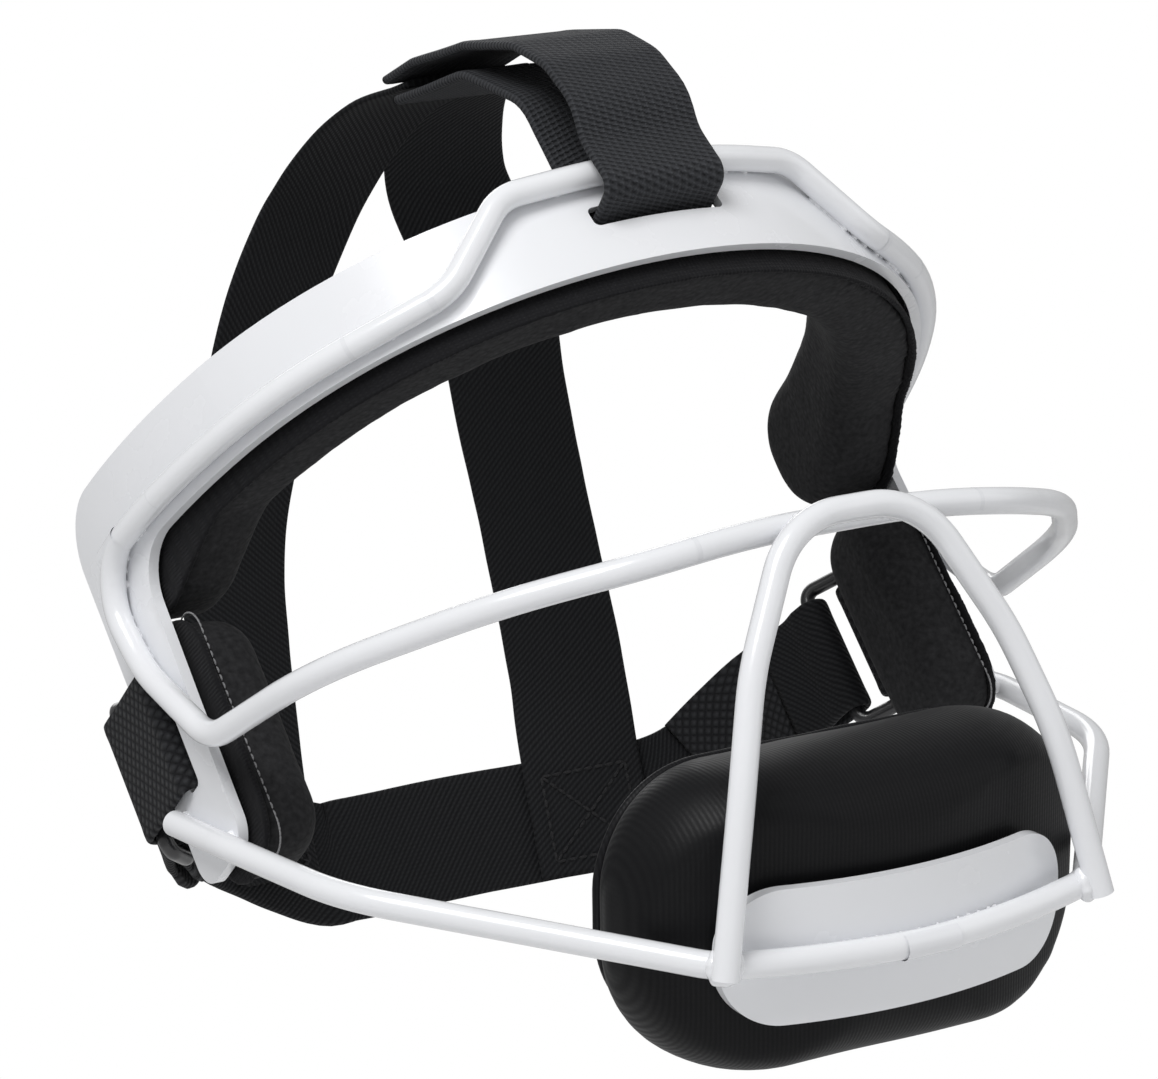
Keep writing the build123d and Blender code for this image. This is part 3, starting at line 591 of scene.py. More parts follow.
@dataclass(frozen=True)
class StrapSection:
    """Section of a strap: flat with round edges and a slightly raised selvedge."""

    width: float = 25.4 * MM
    thickness: float = 1.7 * MM
    edge: float = 0.9 * MM
    selvedge: float = 0.12 * MM

    def profile(self) -> list[tuple[float, float]]:
        """Points round the section: distance across and height."""
        half = self.width / 2
        arc = [half - self.edge * (1 - math.cos(a)) for a in np.linspace(0, math.pi / 2, 5)]
        inner = list(np.linspace(half - self.edge - 1.2 * MM, 0, 7))
        spots = sorted({round(p, 7) for p in arc + inner} | {-round(p, 7) for p in arc + inner})
        top = [(p, self.height(p)) for p in spots]
        return top + [(p, -h) for p, h in top[-2:0:-1]]

    def height(self, place: float) -> float:
        """Half thickness at a distance from the middle."""
        inside = self.width / 2 - abs(place)
        rise = min(1.0, inside / self.edge)
        lip = self.selvedge * math.exp(-(((inside - 1.6 * MM) / (0.7 * MM)) ** 2))
        return (self.thickness / 2) * math.sqrt(max(0.0, 1 - (1 - rise) ** 2)) + lip


@dataclass(frozen=True)
class Strap:
    """A strap swept through stations."""

    name: str
    finish: str
    slot: str
    body: str
    nodes: tuple[str, ...]
    section: StrapSection = StrapSection()
    wave: float = 0.25 * MM

    def sweep(self, stations: Sequence[Station], wardrobe: Wardrobe) -> bpy.types.Object:
        """Builds the strap.

        Args:
            stations: Its closely spaced middles and width directions.
            wardrobe: Where its finish comes from.

        Returns:
            The strap, riding on its body.
        """
        profile = self.section.profile()
        vertices: list[Vector] = []
        lengths = [0.0]
        for a, b in zip(stations, stations[1:]):
            lengths.append(lengths[-1] + (b.centre - a.centre).length)
        for i, station in enumerate(stations):
            ahead = stations[min(i + 1, len(stations) - 1)].centre
            behind = stations[max(i - 1, 0)].centre
            travel = (ahead - behind).normalized()
            across = (station.across - travel * station.across.dot(travel)).normalized()
            out = across.cross(travel)
            sway = self.wave * noise.noise(station.centre / (18 * MM))
            slack = 1 + 0.012 * noise.noise(station.centre / (9 * MM) + Vector((3, 1, 2)))
            for u, h in profile:
                vertices.append(station.centre + across * u * slack + out * (h + sway))
        ring = len(profile)
        faces = tube(len(stations), ring)
        uv: list[list[tuple[float, float]]] = []
        for start, end in zip(lengths, lengths[1:]):
            for (near, _), (far, _) in zip(profile, profile[1:] + profile[:1]):
                uv.append([(near, start), (far, start), (far, end), (near, end)])
        last = (len(stations) - 1) * ring
        faces.append(list(range(ring))[::-1])
        uv.append([(profile[j][0], 0.0) for j in range(ring)][::-1])
        faces.append([last + j for j in range(ring)])
        uv.append([(profile[j][0], lengths[-1]) for j in range(ring)])
        piece = new_piece(self.name, vertices, faces, dict(enumerate(uv)))
        modify(piece, "WEIGHTED_NORMAL", keep_sharp=True)
        wardrobe.dress(piece, self.finish)
        if self.body:
            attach(piece, self.body)
        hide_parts(*self.nodes)
        return piece


def planar(
    points: Sequence[tuple[float, float]], rounds: Sequence[float], out: Callable, across: Vector
) -> list[Station]:
    """Stations of a strap whose line lies in a plane.

    Args:
        points: The line's corners in the plane, in millimetres.
        rounds: A radius for each inner corner, in millimetres.
        out: Turns a place in the plane into one in the object's frame, in millimetres.
        across: The direction of the strap's width.

    Returns:
        Closely spaced stations in metres.
    """
    corners = [out(a, b) * MM for a, b in points]
    line = spread(rounded(corners, [r * MM for r in rounds]), 1.6 * MM)
    return [Station(p, across) for p in line]


DOWN = (0.0, 0.0, -1.0)
TURNING = (0.0, -0.18, -1.0)
SLANTED = (0.0, -0.407, -0.914)
STATION_STEP = 2.0 * MM
TOP_STRAP_SHIFT = -3.1
TOP_STRAP_LINE = (
    (-0.5, 77.9), (-12.02, 79.09), (-32.02, 78.09), (-49.99, 74.29), (-59.99, 68.82), (-67.22, 60.51),
    (-68.22, 52.97), (-74.81, 43.66), (-65.18, 36.85), (-58.6, 46.15), (-50.06, 63.7), (-29.99, 73.04),
    (-3.0, 73.36),
)
TOP_STRAP_ROUNDS = (12.0, 12.0, 12.0, 12.0, 12.0, 9.0, 2.8, 2.8, 9.0, 12.0, 12.0)
REAR_STRAP = (
    ((1.2, -5.0, 76.3), (0.96, -0.28, 0.0), 0.4),
    ((2.5, 2.28, 76.21), (0.94, -0.34, 0.0), 0.4),
    ((6.49, 13.98, 75.17), (0.93, -0.36, 0.04), 0.4),
    ((10.48, 25.99, 69.83), (0.93, -0.34, 0.12), 0.4),
    ((15.48, 37.01, 60.25), (0.94, -0.3, 0.15), 0.3),
    ((22.96, 43.02, 46.2), (0.94, -0.28, 0.15), 0.1),
    ((27.46, 48.03, 33.2), (0.95, -0.25, 0.12), 0.0),
    ((30.53, 53.96, 17.08), (0.97, -0.18, 0.1), 0.0),
    ((36.03, 62.32, -10.05), (0.98, -0.14, 0.08), 0.0),
)
REAR_STRAP_ENDS = {
    1: (
        ((39.27, 66.88, -38.14), (0.975, -0.22, 0.0), 0.0),
        ((38.66, 67.05, -58.22), (0.953, -0.303, 0.0), 0.0),
        ((38.66, 67.05, -83.4), (0.953, -0.303, 0.0), 0.0),
    ),
    -1: (
        ((35.78, 65.84, -56.87), (0.902, -0.431, 0.0), 0.0),
        ((35.78, 65.84, -71.57), (0.902, -0.431, 0.0), 0.0),
    ),
}
BACK_STRAP_MIDDLE = (
    ((0.0, 76.0, -70.7), DOWN),
    ((14.98, 75.32, -70.7), DOWN),
)
BACK_STRAP_SIDES = {
    1: (
        ((28.2, 72.58, -70.91), DOWN),
        ((52.0, 64.98, -70.7), DOWN),
        ((62.48, 56.01, -66.46), TURNING),
        ((70.39, 45.02, -57.7), SLANTED),
        ((73.96, 37.18, -54.21), SLANTED),
    ),
    -1: (
        ((24.96, 73.34, -69.64), DOWN),
        ((49.92, 61.41, -58.12), DOWN),
        ((60.9, 52.44, -54.79), TURNING),
        ((70.72, 41.55, -56.16), SLANTED),
        ((73.96, 37.18, -54.21), SLANTED),
    ),
}
HOOK_TABS = {
    1: (
        ((60.18, 54.12, -66.12), TURNING),
        ((67.72, 43.76, -57.14), SLANTED),
        ((71.2, 36.12, -53.74), SLANTED),
    ),
    -1: (
        ((58.83, 50.31, -54.41), TURNING),
        ((68.51, 39.69, -55.33), SLANTED),
        ((71.48, 35.64, -53.52), SLANTED),
    ),
}
STRAP_ENDS = {
    1: (
        (73.96, 56.01), (75.64, 51.98), (79.47, 44.73), (80.74, 39.48), (75.49, 38.21), (74.22, 43.46),
        (74.29, 47.44), (71.2, 54.86),
    ),
    -1: (
        (73.96, 56.01), (76.41, 52.4), (79.47, 44.73), (80.74, 39.48), (75.49, 38.21), (74.22, 43.46),
        (75.81, 47.94), (71.48, 54.33),
    ),
}
STRAP_END_ROUNDS = (8.0, 2.59, 2.59, 2.59, 2.59, 8.0)
JUNCTIONS = {
    1: ((38.66, 67.05, -70.81), (0.953, -0.303), 18.1),
    -1: ((35.78, 65.84, -64.22), (0.902, -0.431), 10.6),
}
SLOT_LEVEL = -34.4
PLATE_MIDDLE = 84.2
PLATE_THICKNESS = 2.0
TAB_THICKNESS = 1.5
TAB_CLEARANCE = 0.8
TAB_FRONT = 14.7
TAB_REAR = 36.55
TAB_END_GAP = 0.2
SEAM_WIDTH = 18.3 * MM


def as_stations(rows: Iterable, side: int, lift: float = 0.0) -> list[Station]:
    """Stations from rows in millimetres, on one side, raised by a share of each row's lift."""
    out = []
    for row in rows:
        (x, y, z), (a, b, c) = row[:2]
        raised = lift * row[2] if len(row) > 2 else 0.0
        out.append(Station(Vector((side * x, y, z + raised)) * MM, Vector((side * a, b, c))))
    return out


class Harness:
    """All straps of the head harness and the side loops."""

    def __init__(self, wardrobe: Wardrobe) -> None:
        self.wardrobe = wardrobe

    def build(self) -> None:
        """Makes every strap and seam."""
        self.top()
        self.back()
        for side, name in SIDES:
            self.rear(side, name)
            self.end(side, name)
            self.tab(side, name)
            self.seam(side, name)
        self.crown_seam()

    def top(self) -> None:
        """Strap from the crown round the raised bar and back."""
        strap = Strap("top_strap_cloth", "top_elastic", "elastic", "harness", ("top_strap",))
        across = Vector((-1, 0, 0))
        line = planar(TOP_STRAP_LINE, TOP_STRAP_ROUNDS, lambda y, z: Vector((TOP_STRAP_SHIFT, y, z)), across)
        strap.sweep(line, self.wardrobe)

    def back(self) -> None:
        """Strap round the back of the head."""
        strap = Strap("back_strap_cloth", "elastic", "elastic", "harness", ("back_strap",))
        left = as_stations(BACK_STRAP_MIDDLE + BACK_STRAP_SIDES[1], 1)
        right = as_stations(BACK_STRAP_MIDDLE[1:] + BACK_STRAP_SIDES[-1], -1)[::-1]
        right = [Station(s.centre, Vector((0.0, s.across.y, s.across.z))) for s in right]
        strap.sweep(flowing(right + left, STATION_STEP), self.wardrobe)

    def rear(self, side: int, name: str) -> None:
        """Strap from the crown down the back of the head."""
        section = StrapSection(thickness=1.3 * MM, selvedge=0.05 * MM)
        node = f"{name}_rear_strap"
        strap = Strap(f"{node}_cloth", "elastic", "elastic", "harness", (node,), section, 0.1 * MM)
        rows = as_stations(REAR_STRAP + REAR_STRAP_ENDS[side], side, side)
        strap.sweep(flowing(rows, STATION_STEP), self.wardrobe)

    def end(self, side: int, name: str) -> None:
        """Elastic end round the ring, and the hook tab that grips the back strap."""

        def out(x: float, v: float) -> Vector:
            return BAND.out(side * x, v, SLOT_LEVEL)

        strap = Strap(f"{name}_strap_end_cloth", "elastic", "elastic", "", (f"{name}_strap_end",), wave=0.0)
        line = planar(STRAP_ENDS[side], STRAP_END_ROUNDS, out, BAND.out(0, 0, -1))
        piece = strap.sweep(line, self.wardrobe)
        start = out(75.0, 54.0) * MM
        tuple(out(78.5, 43.0) * MM)
        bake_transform(piece)
        node, section = f"{name}_hook_tab", StrapSection(thickness=1.5 * MM)
        tab = Strap(f"{node}_cloth", "webbing", "hook_tape", "harness", (node,), section, 0.1 * MM)
        tab.sweep(flowing(as_stations(HOOK_TABS[side], side), STATION_STEP), self.wardrobe)

    def tab(self, side: int, name: str) -> None:
        """Loop of plain webbing through the leg's slot and round the ring's front bar."""
        half = TAB_THICKNESS / 2
        reach = PLATE_THICKNESS / 2 + TAB_CLEARANCE + half
        inner, outer = PLATE_MIDDLE - reach, PLATE_MIDDLE + reach
        front, rear = TAB_FRONT - half, TAB_REAR + half
        middle = (TAB_FRONT + TAB_REAR) / 2
        corners = (
            (inner, middle - TAB_END_GAP), (inner, front), (outer, front), (outer, rear),
            (inner, rear), (inner, middle + TAB_END_GAP),
        )
        fold = reach - 0.02

        def out(x: float, v: float) -> Vector:
            return BAND.out(side * x, v, SLOT_LEVEL)

        section = StrapSection(thickness=1.45 * MM, edge=0.7 * MM, selvedge=0.1 * MM)
        node = f"{name}_side_tab"
        strap = Strap(f"{node}_cloth", "webbing", "webbing", f"{name}_side", (node,), section, 0.0)
        strap.sweep(planar(corners, (fold, fold, fold, fold), out, BAND.out(0, 0, -1)), self.wardrobe)

    def seam(self, side: int, name: str) -> None:
        """Box stitch where a rear strap ends on the back strap."""
        place, (run, fall), height = JUNCTIONS[side]
        across = Vector((side * run, fall, 0.0)).normalized()
        inward = Vector((side * fall, -run, 0.0)).normalized()
        centre = Vector((side * place[0], place[1], place[2])) * MM + inward * 0.85 * MM
        name = f"{name}_junction_stitch"
        stitches = BoxStitch(f"{name}es", "harness", f"{name}ing", SEAM_WIDTH, height * MM)
        stitches.build(centre, across, Vector((0, 0, 1)), inward, self.wardrobe)

    def crown_seam(self) -> None:
        """Box stitch on the crown."""
        stitches = BoxStitch("crown_stitches", "harness", "crown_stitching", SEAM_WIDTH, 11.0 * MM)
        centre = Vector((TOP_STRAP_SHIFT, -2.94, 79.5)) * MM
        along, out = Vector((0, 1, -0.066)), Vector((0, 0.066, 1))
        stitches.build(centre, Vector((1, 0, 0)), along, out, self.wardrobe)


@dataclass(frozen=True)
class BoxStitch:
    """A square of single stitches with a crossed middle."""

    name: str
    body: str
    node: str
    width: float
    length: float
    stitch: float = 2.2 * MM
    thread: float = 0.32 * MM

    def build(self, centre: Vector, across: Vector, along: Vector, out: Vector, wardrobe: Wardrobe) -> None:
        """Places the stitches on a surface.

        Args:
            centre: The middle of the square, on the surface.
            across: The direction of its width.
            along: The direction of its length.
            out: The surface's outward normal.
            wardrobe: Where the thread's finish comes from.
        """
        w, h = self.width / 2, self.length / 2
        a, b, c, d = (-w, -h), (w, -h), (w, h), (-w, h)
        vertices: list[Vector] = []
        faces: list[list[int]] = []
        for p, q in ((a, b), (b, c), (c, d), (d, a), (a, c), (b, d)):
            start = centre + across * p[0] + along * p[1]
            end = centre + across * q[0] + along * q[1]
            run = end - start
            count = max(1, round(run.length / self.stitch))
            step = run / count
            for k in range(count):
                self.bead(start + step * (k + 0.5), step.normalized(), out, vertices, faces)
        piece = new_piece(self.name, vertices, faces)
        wardrobe.dress(piece, "thread")
        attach(piece, self.body)
        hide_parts(self.node)

    def bead(self, middle: Vector, run: Vector, out: Vector, vertices: list, faces: list) -> None:
        """Adds one stitch, a short thread that dips into the cloth at its ends."""
        first = len(vertices)
        side = run.cross(out)
        rings, spokes = 7, 6
        for i in range(rings):
            t = -1 + 2 * i / (rings - 1)
            thick = self.thread * math.sqrt(max(0.06, 1 - t * t))
            centre = middle + run * (t * self.stitch * 0.42) - out * (self.thread * (0.9 * t * t - 0.1))
            for j in range(spokes):
                angle = 2 * math.pi * j / spokes
                vertices.append(centre + (side * math.cos(angle) + out * math.sin(angle)) * thick)
        faces.extend(tube(rings, spokes, first))
        faces.append([first + j for j in range(spokes)][::-1])
        faces.append([first + (rings - 1) * spokes + j for j in range(spokes)])


@dataclass(frozen=True)
class PadSeam:
    """Line of pale stitches along the front side of a jaw pad, in the band's frame in millimetres."""

    front: float = -1.2
    top: float = -17.25
    bottom: float = -67.35
    end: float = 9.0
    corner: float = 9.5
    depth: float = 79.7
    step: float = 1.7

    def build(self, side: int, name: str, wardrobe: Wardrobe) -> None:
        """Makes the stitches of one side's pad."""
        pad = f"{name}_jaw_pad"
        sewer = BoxStitch(f"{pad}_stitches", pad, "", 0.0, 0.0, self.step * MM, 0.2 * MM)
        rears = (self.end, self.front, self.front, self.end)
        heights = (self.top, self.top, self.bottom, self.bottom)
        points = [BAND.out(side * self.depth, rear, up) * MM for rear, up in zip(rears, heights)]
        line = spread(rounded(points, (self.corner * MM,) * 2), self.step * MM)
        middle = (points[0] + points[3]) / 2
        vertices: list[Vector] = []
        faces: list[list[int]] = []
        for a, b in zip(line, line[1:]):
            run = (b - a).normalized()
            out = run.cross(Vector((1, 0, 0)))
            if out.dot(middle - a) > 0:
                out = -out
            sewer.bead((a + b) / 2, run, out, vertices, faces)
        piece = new_piece(sewer.name, vertices, faces)
        wardrobe.dress(piece, "pad_thread")
        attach(piece, sewer.body)


# Pads and trim


@dataclass(frozen=True)
class Pad:
    """A foam pad grown from the room that its solid holds."""

    node: str
    body: str
    voxel: float = 1.1 * MM
    fill: float = 0.85

    def build(self, wardrobe: Wardrobe, frame: dict) -> bpy.types.Object:
        """Returns the pad, riding on its body."""
        piece = copy_of(frame, self.node, f"{self.node}_pad")
        modify(piece, "REMESH", mode="VOXEL", voxel_size=self.voxel, adaptivity=0.0)
        modify(piece, "SMOOTH", factor=0.5, iterations=6)
        ripple(piece, 16 * MM, 0.45 * MM, 4.2)
        ripple(piece, 5 * MM, 0.12 * MM, 9.1)
        modify(piece, "SUBSURF", levels=1)
        smooth(piece)
        wardrobe.dress(piece, "pad_foam")
        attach(piece, self.body)
        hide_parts(self.node)
        return piece


@dataclass(frozen=True)
class Trim:
    """Thin tape or backing with a fibrous surface and frayed edge."""

    node: str
    body: str
    finish: str
    voxel: float = 0.45 * MM
    fray: float = 0.1 * MM

    def build(self, wardrobe: Wardrobe, frame: dict) -> bpy.types.Object:
        """Returns the trim, riding on its body."""
        piece = copy_of(frame, self.node, f"{self.node}_cloth")
        modify(piece, "REMESH", mode="VOXEL", voxel_size=self.voxel, adaptivity=0.0)
        modify(piece, "SMOOTH", factor=0.5, iterations=2)
        ripple(piece, 1.3 * MM, self.fray, 2.5)
        smooth(piece)
        wardrobe.dress(piece, self.finish)
        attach(piece, self.body)
        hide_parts(self.node)
        return piece


def copy_of(frame: dict, node: str, name: str) -> bpy.types.Object:
    """Copies a node's mesh into a new free object."""
    piece = bpy.data.objects.new(name, frame["nodes"][node].data.copy())
    piece.data.name = name
    bpy.context.scene.collection.objects.link(piece)
    pick(piece)
    bpy.ops.object.mode_set(mode="EDIT")
    bpy.ops.mesh.select_all(action="SELECT")
    bpy.ops.mesh.remove_doubles(threshold=0.002 * MM)
    bpy.ops.object.mode_set(mode="OBJECT")
    return piece


# Chin cup


@dataclass(frozen=True)
class CupShape:
    """Rings of the chin cup in the chin's frame, in millimetres."""

    front: float = -127.13
    depth: float = 33.0
    level: float = -53.2
    shift: float = 1.5
    half_width: float = 49.5
    half_height: float = 28.5
    corner: float = 23.5
    rear_width_share: float = 0.93
    rear_height_share: float = 0.9
    wall: float = 13.0
    binding: float = 2.4
    drum_radius: float = 85.9
    drum_centre: float = -41.23
    around: int = 168

    def ring(self, half_width: float, half_height: float, corner: float) -> list[tuple[float, ...]]:
        """Points round a rounded rectangle: place and outward direction."""
        corner = min(corner, half_width - 0.01, half_height - 0.01)
        runs = []
        straight_w, straight_h = half_width - corner, half_height - corner
        for cx, cz, start in (
            (straight_w, straight_h, 0.0),
            (-straight_w, straight_h, 90.0),
            (-straight_w, -straight_h, 180.0),
            (straight_w, -straight_h, 270.0),
        ):
            for k in range(25):
                a = math.radians(start + 90 * k / 24)
                runs.append((cx + corner * math.cos(a), cz + corner * math.sin(a), math.cos(a), math.sin(a)))
        runs.append(runs[0])
        table = np.array(runs)
        steps = np.hypot(*np.diff(table[:, :2], axis=0).T)
        length = np.concatenate(([0], np.cumsum(steps)))
        wanted = np.linspace(0, length[-1], self.around, endpoint=False)
        table[:, 0] += self.shift
        return [tuple(np.interp(w, length, table[:, i]) for i in range(4)) for w in wanted]

    def fitted(self, x: float, r: float) -> float:
        """Depth held behind the drum that the chin plate and its backing form."""
        if abs(x) < self.drum_radius:
            return max(r, self.drum_centre - math.sqrt(self.drum_radius**2 - x * x))
        return r


class ChinCup:
    """Knit cushion of the chin cup with its lining and bound rim."""

    outer = (
        (1.0, 0.02, 0.02), (1.0, 0.2, 0.2), (1.0, 0.4, 0.42), (0.995, 0.56, 0.58), (0.97, 0.655, 0.69),
        (0.92, 0.74, 0.785), (0.85, 0.805, 0.865), (0.76, 0.86, 0.925), (0.66, 0.9, 0.965),
        (0.55, 0.94, 0.985), (0.44, 0.96, 0.99), (0.33, 0.975, 0.985), (0.22, 0.98, 0.965), (0.1, 0.955, 0.93), (0.02, 0.93, 0.9),
    )
    inner = ((0.0, 1.03, 1.05), (0.1, 1.0, 1.0), (0.35, 0.97, 0.96), (0.6, 0.93, 0.9), (0.82, 0.83, 0.78),
             (0.95, 0.66, 0.58), (1.0, 0.45, 0.36), (1.01, 0.2, 0.16), (1.01, 0.02, 0.02))

    def __init__(self, wardrobe: Wardrobe, shape: CupShape) -> None:
        self.wardrobe = wardrobe
        self.shape = shape

    def build(self, frame: dict) -> None:
        """Makes the cushion and the binding."""
        s = self.shape
        rear = s.front + s.depth - s.binding
        rows: list[list[Vector]] = []
        for deep, wide, tall in self.outer:
            r = rear + (s.front - rear) * deep
            points = s.ring(s.half_width * wide, s.half_height * tall, s.corner * tall)
            rows.append([CHIN.out(x, s.fitted(x, r), s.level + z) * MM for x, z, _, _ in points])
        knit_rows = len(rows)
        bottom = s.front + s.wall
        for deep, wide, tall in self.inner:
            r = rear + (bottom - rear) * deep
            half_w, half_h = (s.half_width - s.wall) * wide, (s.half_height - s.wall) * tall
            points = s.ring(half_w, half_h, (s.corner - s.wall) * tall)
            rows.append([CHIN.out(x, r, s.level + z) * MM for x, z, _, _ in points])
        vertices = [p for row in rows for p in row]
        n = s.around
        faces = tube(len(rows), n)
        faces.append(list(range(n))[::-1])
        faces.append([(len(rows) - 1) * n + j for j in range(n)])
        piece = new_piece("chin_cushion", vertices, faces)
        self.wardrobe.dress(piece, "cup_knit", "cup_lining")
        for polygon in piece.data.polygons:
            row = polygon.index // n
            polygon.material_index = 1 if row >= knit_rows - 1 and polygon.index != len(faces) - 2 else 0
        bm = bmesh.new()
        bm.from_mesh(piece.data)
        bmesh.ops.recalc_face_normals(bm, faces=bm.faces)
        bm.to_mesh(piece.data)
        bm.free()
        modify(piece, "SUBSURF", levels=1)
        ripple(piece, 22 * MM, 0.5 * MM, 1.4)
        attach(piece, "chin_cup")
        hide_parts("chin_cup_cover", "chin_cup_foam", "chin_cup_lining")
        self.rim(rear)

    def rim(self, rear: float) -> None:
        """Bound edge round the mouth of the cup."""
        s = self.shape
        half_w = (s.half_width * s.rear_width_share + s.half_width - s.wall) / 2
        half_h = (s.half_height * s.rear_height_share + s.half_height - s.wall) / 2
        reach = (s.half_width * s.rear_width_share - (s.half_width - s.wall)) / 2 - 0.1
        points = s.ring(half_w, half_h, s.corner * 0.72)
        spokes = 20
        vertices = []
        for x, z, nx, nz in points:
            size = math.hypot(nx, nz)
            for j in range(spokes):
                a = 2 * math.pi * j / spokes
                side = reach * math.copysign(abs(math.cos(a)) ** 0.7, math.cos(a))
                lift = 1.35 * math.copysign(abs(math.sin(a)) ** 0.8, math.sin(a))
                place = CHIN.out(x + nx / size * side, rear + 1.05 + lift, s.level + z + nz / size * side)
                vertices.append(place * MM)
        faces = []
        for i in range(len(points)):
            k = (i + 1) % len(points)
            for j in range(spokes):
                m = (j + 1) % spokes
                faces.append([i * spokes + j, k * spokes + j, k * spokes + m, i * spokes + m])
        piece = new_piece("chin_cup_rim", vertices, faces)
        self.wardrobe.dress(piece, "binding")
        ripple(piece, 9 * MM, 0.2 * MM, 6.6)
        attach(piece, "chin_cup")
        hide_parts("chin_cup_binding")


# Welds


@dataclass(frozen=True)
class Weld:
    """Coated weld beads where two pieces of the cage meet."""

    name: str
    first: str
    second: str
    reach: float
    size: float
    spacing: float
    slot: str = "coated_wire"

    def places(self, frame: dict) -> list[Vector]:
        """Middles between the two pieces where they come near each other."""
        mesh = frame["nodes"][self.second].data
        tree = BVHTree.FromPolygons([v.co for v in mesh.vertices], [tuple(p.vertices) for p in mesh.polygons])
        found: list[Vector] = []
        for vertex in sample_points(frame["nodes"][self.first].data):
            spot, *_ = tree.find_nearest(vertex, self.reach)
            if spot is None:
                continue
            middle = (spot + vertex) / 2
            if all((middle - other).length > self.spacing for other in found):
                found.append(middle)
        return found

    def build(self, wardrobe: Wardrobe, frame: dict) -> None:
        """Makes the beads as one piece."""
        vertices: list[Vector] = []
        faces: list[list[int]] = []
        for number, middle in enumerate(self.places(frame)):
            add_blob(middle, self.size, number, vertices, faces)
        if not vertices:
            LOG.info("%s: the pieces don't meet", self.name)
            return
        piece = new_piece(self.name, vertices, faces)
        modify(piece, "REMESH", mode="VOXEL", voxel_size=0.35 * MM, adaptivity=0.0)
        modify(piece, "SMOOTH", factor=0.6, iterations=6)
        smooth(piece)
        wardrobe.dress(piece, self.slot)
        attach(piece, "frame")


def sample_points(mesh: bpy.types.Mesh) -> list[Vector]:
    """Points over a mesh: its vertices and places along its long edges."""
    out = [v.co.copy() for v in mesh.vertices]
    for edge in mesh.edges:
        a, b = (mesh.vertices[i].co for i in edge.vertices)
        count = int((b - a).length / (0.8 * MM))
        out.extend(a.lerp(b, k / count) for k in range(1, count))
    return out


def add_blob(middle: Vector, size: float, seed: int, vertices: list, faces: list) -> None:
    """Adds a slightly uneven ball."""
    first = len(vertices)
    rings, spokes = 8, 12
    for i in range(1, rings):
        polar = math.pi * i / rings
        for j in range(spokes):
            turn = 2 * math.pi * j / spokes
            flat = math.sin(polar)
            way = Vector((flat * math.cos(turn), flat * math.sin(turn), math.cos(polar)))
            vertices.append(middle + way * size * (1 + 0.12 * noise.noise(way * 1.7 + Vector((seed, 0, 0)))))
    top = len(vertices)
    vertices.append(middle + Vector((0, 0, size)))
    vertices.append(middle - Vector((0, 0, size)))
    for i in range(rings - 2):
        for j in range(spokes):
            k = (j + 1) % spokes
            row = first + i * spokes
            faces.append([row + j, row + spokes + j, row + spokes + k, row + k])
    for j in range(spokes):
        k = (j + 1) % spokes
        faces.append([top, first + j, first + k])
        low = first + (rings - 2) * spokes
        faces.append([top + 1, low + k, low + j])


# Studio


@dataclass(frozen=True)
class PhotoCamera:
    """Camera that took the picture, in pixels, degrees and millimetres."""

    focal: float = 4623.7
    width: float = 1158.0
    azimuth: float = -30.467
    elevation: float = -1.317
    roll: float = -10.611
    offset: tuple[float, float, float] = (-10.361, -14.201, 898.19)

    def build(self) -> bpy.types.Object:
        """Returns the scene's camera."""
        a, e, q = (math.radians(v) for v in (self.azimuth, self.elevation, self.roll))
        back = Vector((math.sin(a) * math.cos(e), -math.cos(a) * math.cos(e), math.sin(e)))
        ahead = -back
        right = ahead.cross(Vector((0, 0, 1))).normalized()
        down = ahead.cross(right)
        turned_right = right * math.cos(q) - down * math.sin(q)
        turned_down = right * math.sin(q) + down * math.cos(q)
        rows = (turned_right, turned_down, ahead)
        place = -sum((row * step for row, step in zip(rows, self.offset)), Vector()) * MM
        bpy.ops.object.camera_add()
        camera = bpy.context.object
        basis = Matrix((turned_right, -turned_down, -ahead)).transposed().to_4x4()
        camera.matrix_world = Matrix.Translation(place) @ basis
        camera.data.sensor_fit = "HORIZONTAL"
        camera.data.lens = self.focal / self.width * camera.data.sensor_width
        camera.data.clip_start = 0.01
        bpy.context.scene.camera = camera
        return camera


@dataclass(frozen=True)
class Lamp:
    """Soft box aimed at the object."""

    name: str
    place: tuple[float, float, float]
    size: float
    power: float

    def build(self) -> None:
        """Adds the light."""
        bpy.ops.object.light_add(type="AREA", location=self.place)
        lamp = bpy.context.object
        lamp.name = self.name
        lamp.data.shape = "DISK"
        lamp.data.size = self.size
        lamp.data.energy = self.power
        lamp.rotation_euler = (-Vector(self.place)).to_track_quat("-Z", "Y").to_euler()


LAMPS = (
    Lamp("key", (-0.75, -0.75, 1.15), 0.9, 15.5),
    Lamp("fill", (1.1, -0.9, 0.25), 1.2, 1.6),
    Lamp("front", (-0.5, -1.6, -0.1), 1.0, 0.5),
    Lamp("rim", (0.4, 1.1, 0.9), 0.9, 4.0),
)


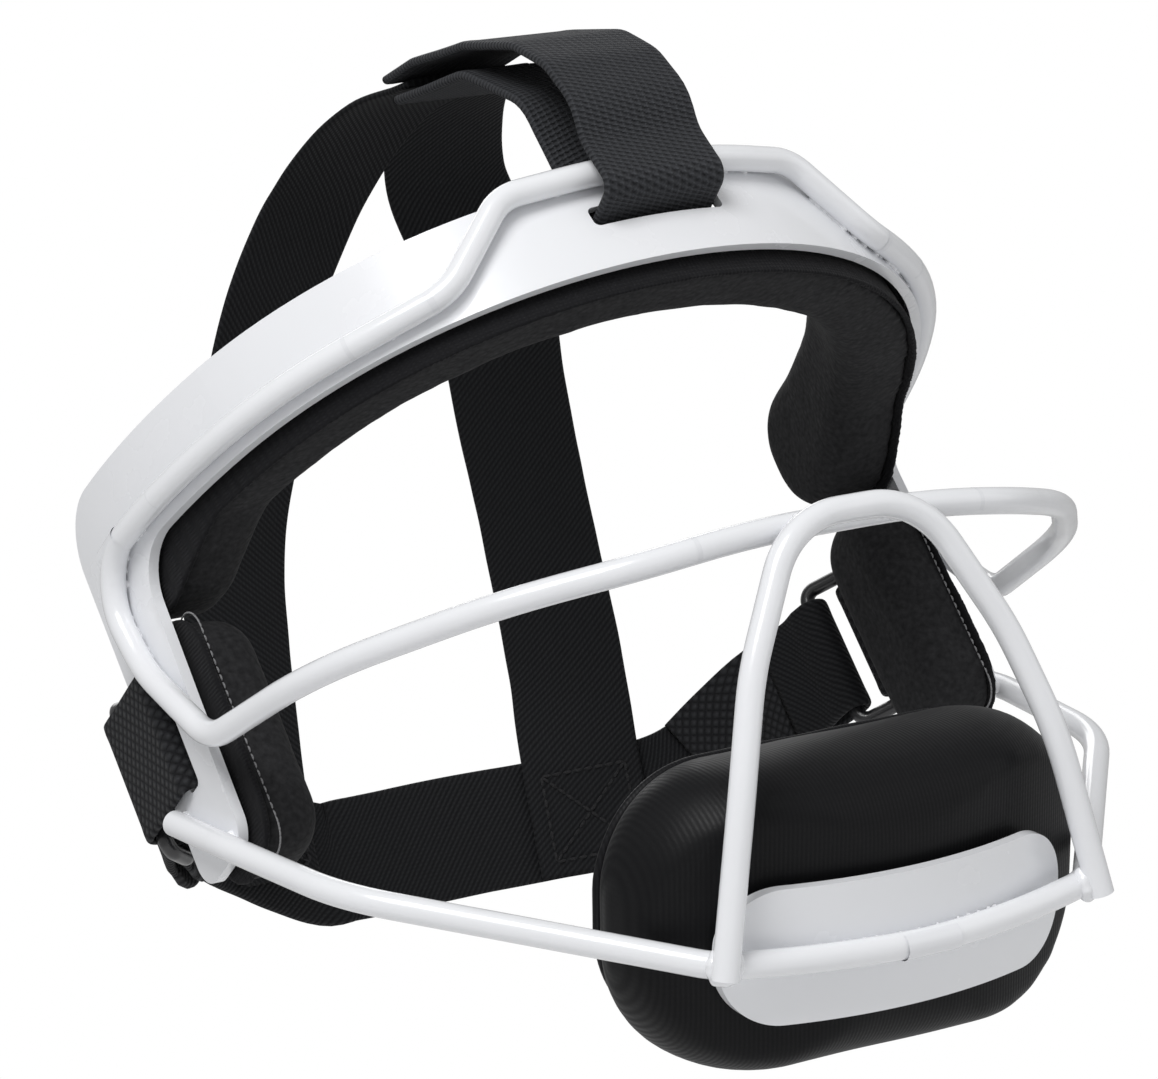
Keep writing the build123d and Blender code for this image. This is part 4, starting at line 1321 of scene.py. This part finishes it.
def build_world(strength: float) -> None:
    """White backdrop for the eye, softer light for the object."""
    world = bpy.data.worlds.new("studio")
    bpy.context.scene.world = world
    world.use_nodes = True
    tree = world.node_tree
    seen = tree.nodes["Background"]
    seen.inputs["Color"].default_value = (1, 1, 1, 1)
    lit = tree.nodes.new("ShaderNodeBackground")
    lit.inputs["Color"].default_value = (1, 1, 1, 1)
    lit.inputs["Strength"].default_value = strength
    path = tree.nodes.new("ShaderNodeLightPath")
    mix = tree.nodes.new("ShaderNodeMixShader")
    through = Value(tree, path.outputs["Is Transmission Ray"])
    ray = Value(tree, path.outputs["Is Camera Ray"]).maths("MAXIMUM", through)
    tree.links.new(ray.socket, mix.inputs[0])
    tree.links.new(lit.outputs[0], mix.inputs[1])
    tree.links.new(seen.outputs[0], mix.inputs[2])
    tree.links.new(mix.outputs[0], tree.nodes["World Output"].inputs[0])


def build_floor(level: float, size: float) -> None:
    """Plain pale floor under the object."""
    bpy.ops.mesh.primitive_plane_add(size=size, location=(0, 0, level))
    floor = bpy.context.object
    floor.name = "studio_floor"
    shader = Shader("studio_floor")
    shader.constant(Roughness=0.9)
    shader.surface.inputs["Base Color"].default_value = (0.8, 0.8, 0.8, 1)
    floor.data.materials.append(shader.material)


def build_studio() -> None:
    """Camera, lights, backdrop and floor."""
    scene = bpy.context.scene
    scene.view_settings.view_transform = "Standard"
    scene.view_settings.look = "None"
    PhotoCamera().build()
    for lamp in LAMPS:
        lamp.build()
    build_world(0.41)
    build_floor(-0.26, 1.1)


# The whole guard

HARD = {
    "upper_wire": "coated_wire",
    "jaw_wire": "coated_wire",
    "nose_wire": "coated_wire",
    "forehead_plate": "coated_plate",
    "chin_plate": "coated_plate",
    "right_strap_ring": "ring_plastic",
    "left_strap_ring": "ring_plastic",
}
WELDS = (
    Weld("nose_foot_welds", "nose_wire", "jaw_wire", 0.35 * MM, 1.5 * MM, 1.4 * MM),
    Weld("nose_top_weld", "nose_wire", "upper_wire", 0.6 * MM, 1.4 * MM, 1.6 * MM),
    Weld("jaw_end_welds", "jaw_wire", "forehead_plate", 0.4 * MM, 1.2 * MM, 2.0 * MM),
    Weld("brow_welds", "upper_wire", "forehead_plate", 0.22 * MM, 0.9 * MM, 1.6 * MM),
    Weld("chin_welds", "jaw_wire", "chin_plate", 0.9 * MM, 0.6 * MM, 1.2 * MM),
)


class FaceGuard:
    """All the looks of the guard."""

    def __init__(self, frame: dict) -> None:
        self.frame = frame
        self.wardrobe = Wardrobe()

    def build(self) -> None:
        """Dresses the hard pieces and replaces the soft ones."""
        for node, finish in HARD.items():
            self.wardrobe.dress(self.frame["nodes"][node], finish)
        Harness(self.wardrobe).build()
        ChinCup(self.wardrobe, CupShape()).build(self.frame)
        Pad("forehead_pad_foam", "forehead_pad").build(self.wardrobe, self.frame)
        for side, name in SIDES:
            Pad(f"{name}_jaw_pad_foam", f"{name}_jaw_pad", voxel=0.9 * MM).build(self.wardrobe, self.frame)
            Trim(f"{name}_jaw_pad_backing", f"{name}_jaw_pad", "pad_backing").build(self.wardrobe, self.frame)
            PadSeam().build(side, name, self.wardrobe)
            Trim(f"{name}_leg_hook_tape", "frame", "hook_tape").build(self.wardrobe, self.frame)
        Trim("forehead_pad_backing", "forehead_pad", "pad_backing").build(self.wardrobe, self.frame)
        Trim("forehead_hook_tape", "frame", "hook_tape").build(self.wardrobe, self.frame)
        Trim("chin_hook_tape", "frame", "hook_tape").build(self.wardrobe, self.frame)
        Trim("chin_cup_patch", "chin_cup", "pad_backing").build(self.wardrobe, self.frame)
        for weld in WELDS:
            weld.build(self.wardrobe, self.frame)


def main() -> None:
    """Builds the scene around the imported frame."""
    logging.basicConfig(level=logging.INFO)
    bpy.ops.object.select_all(action="SELECT")
    bpy.ops.object.delete()
    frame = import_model()
    FaceGuard(frame).build()
    build_studio()


if __name__ == "__main__":
    main()
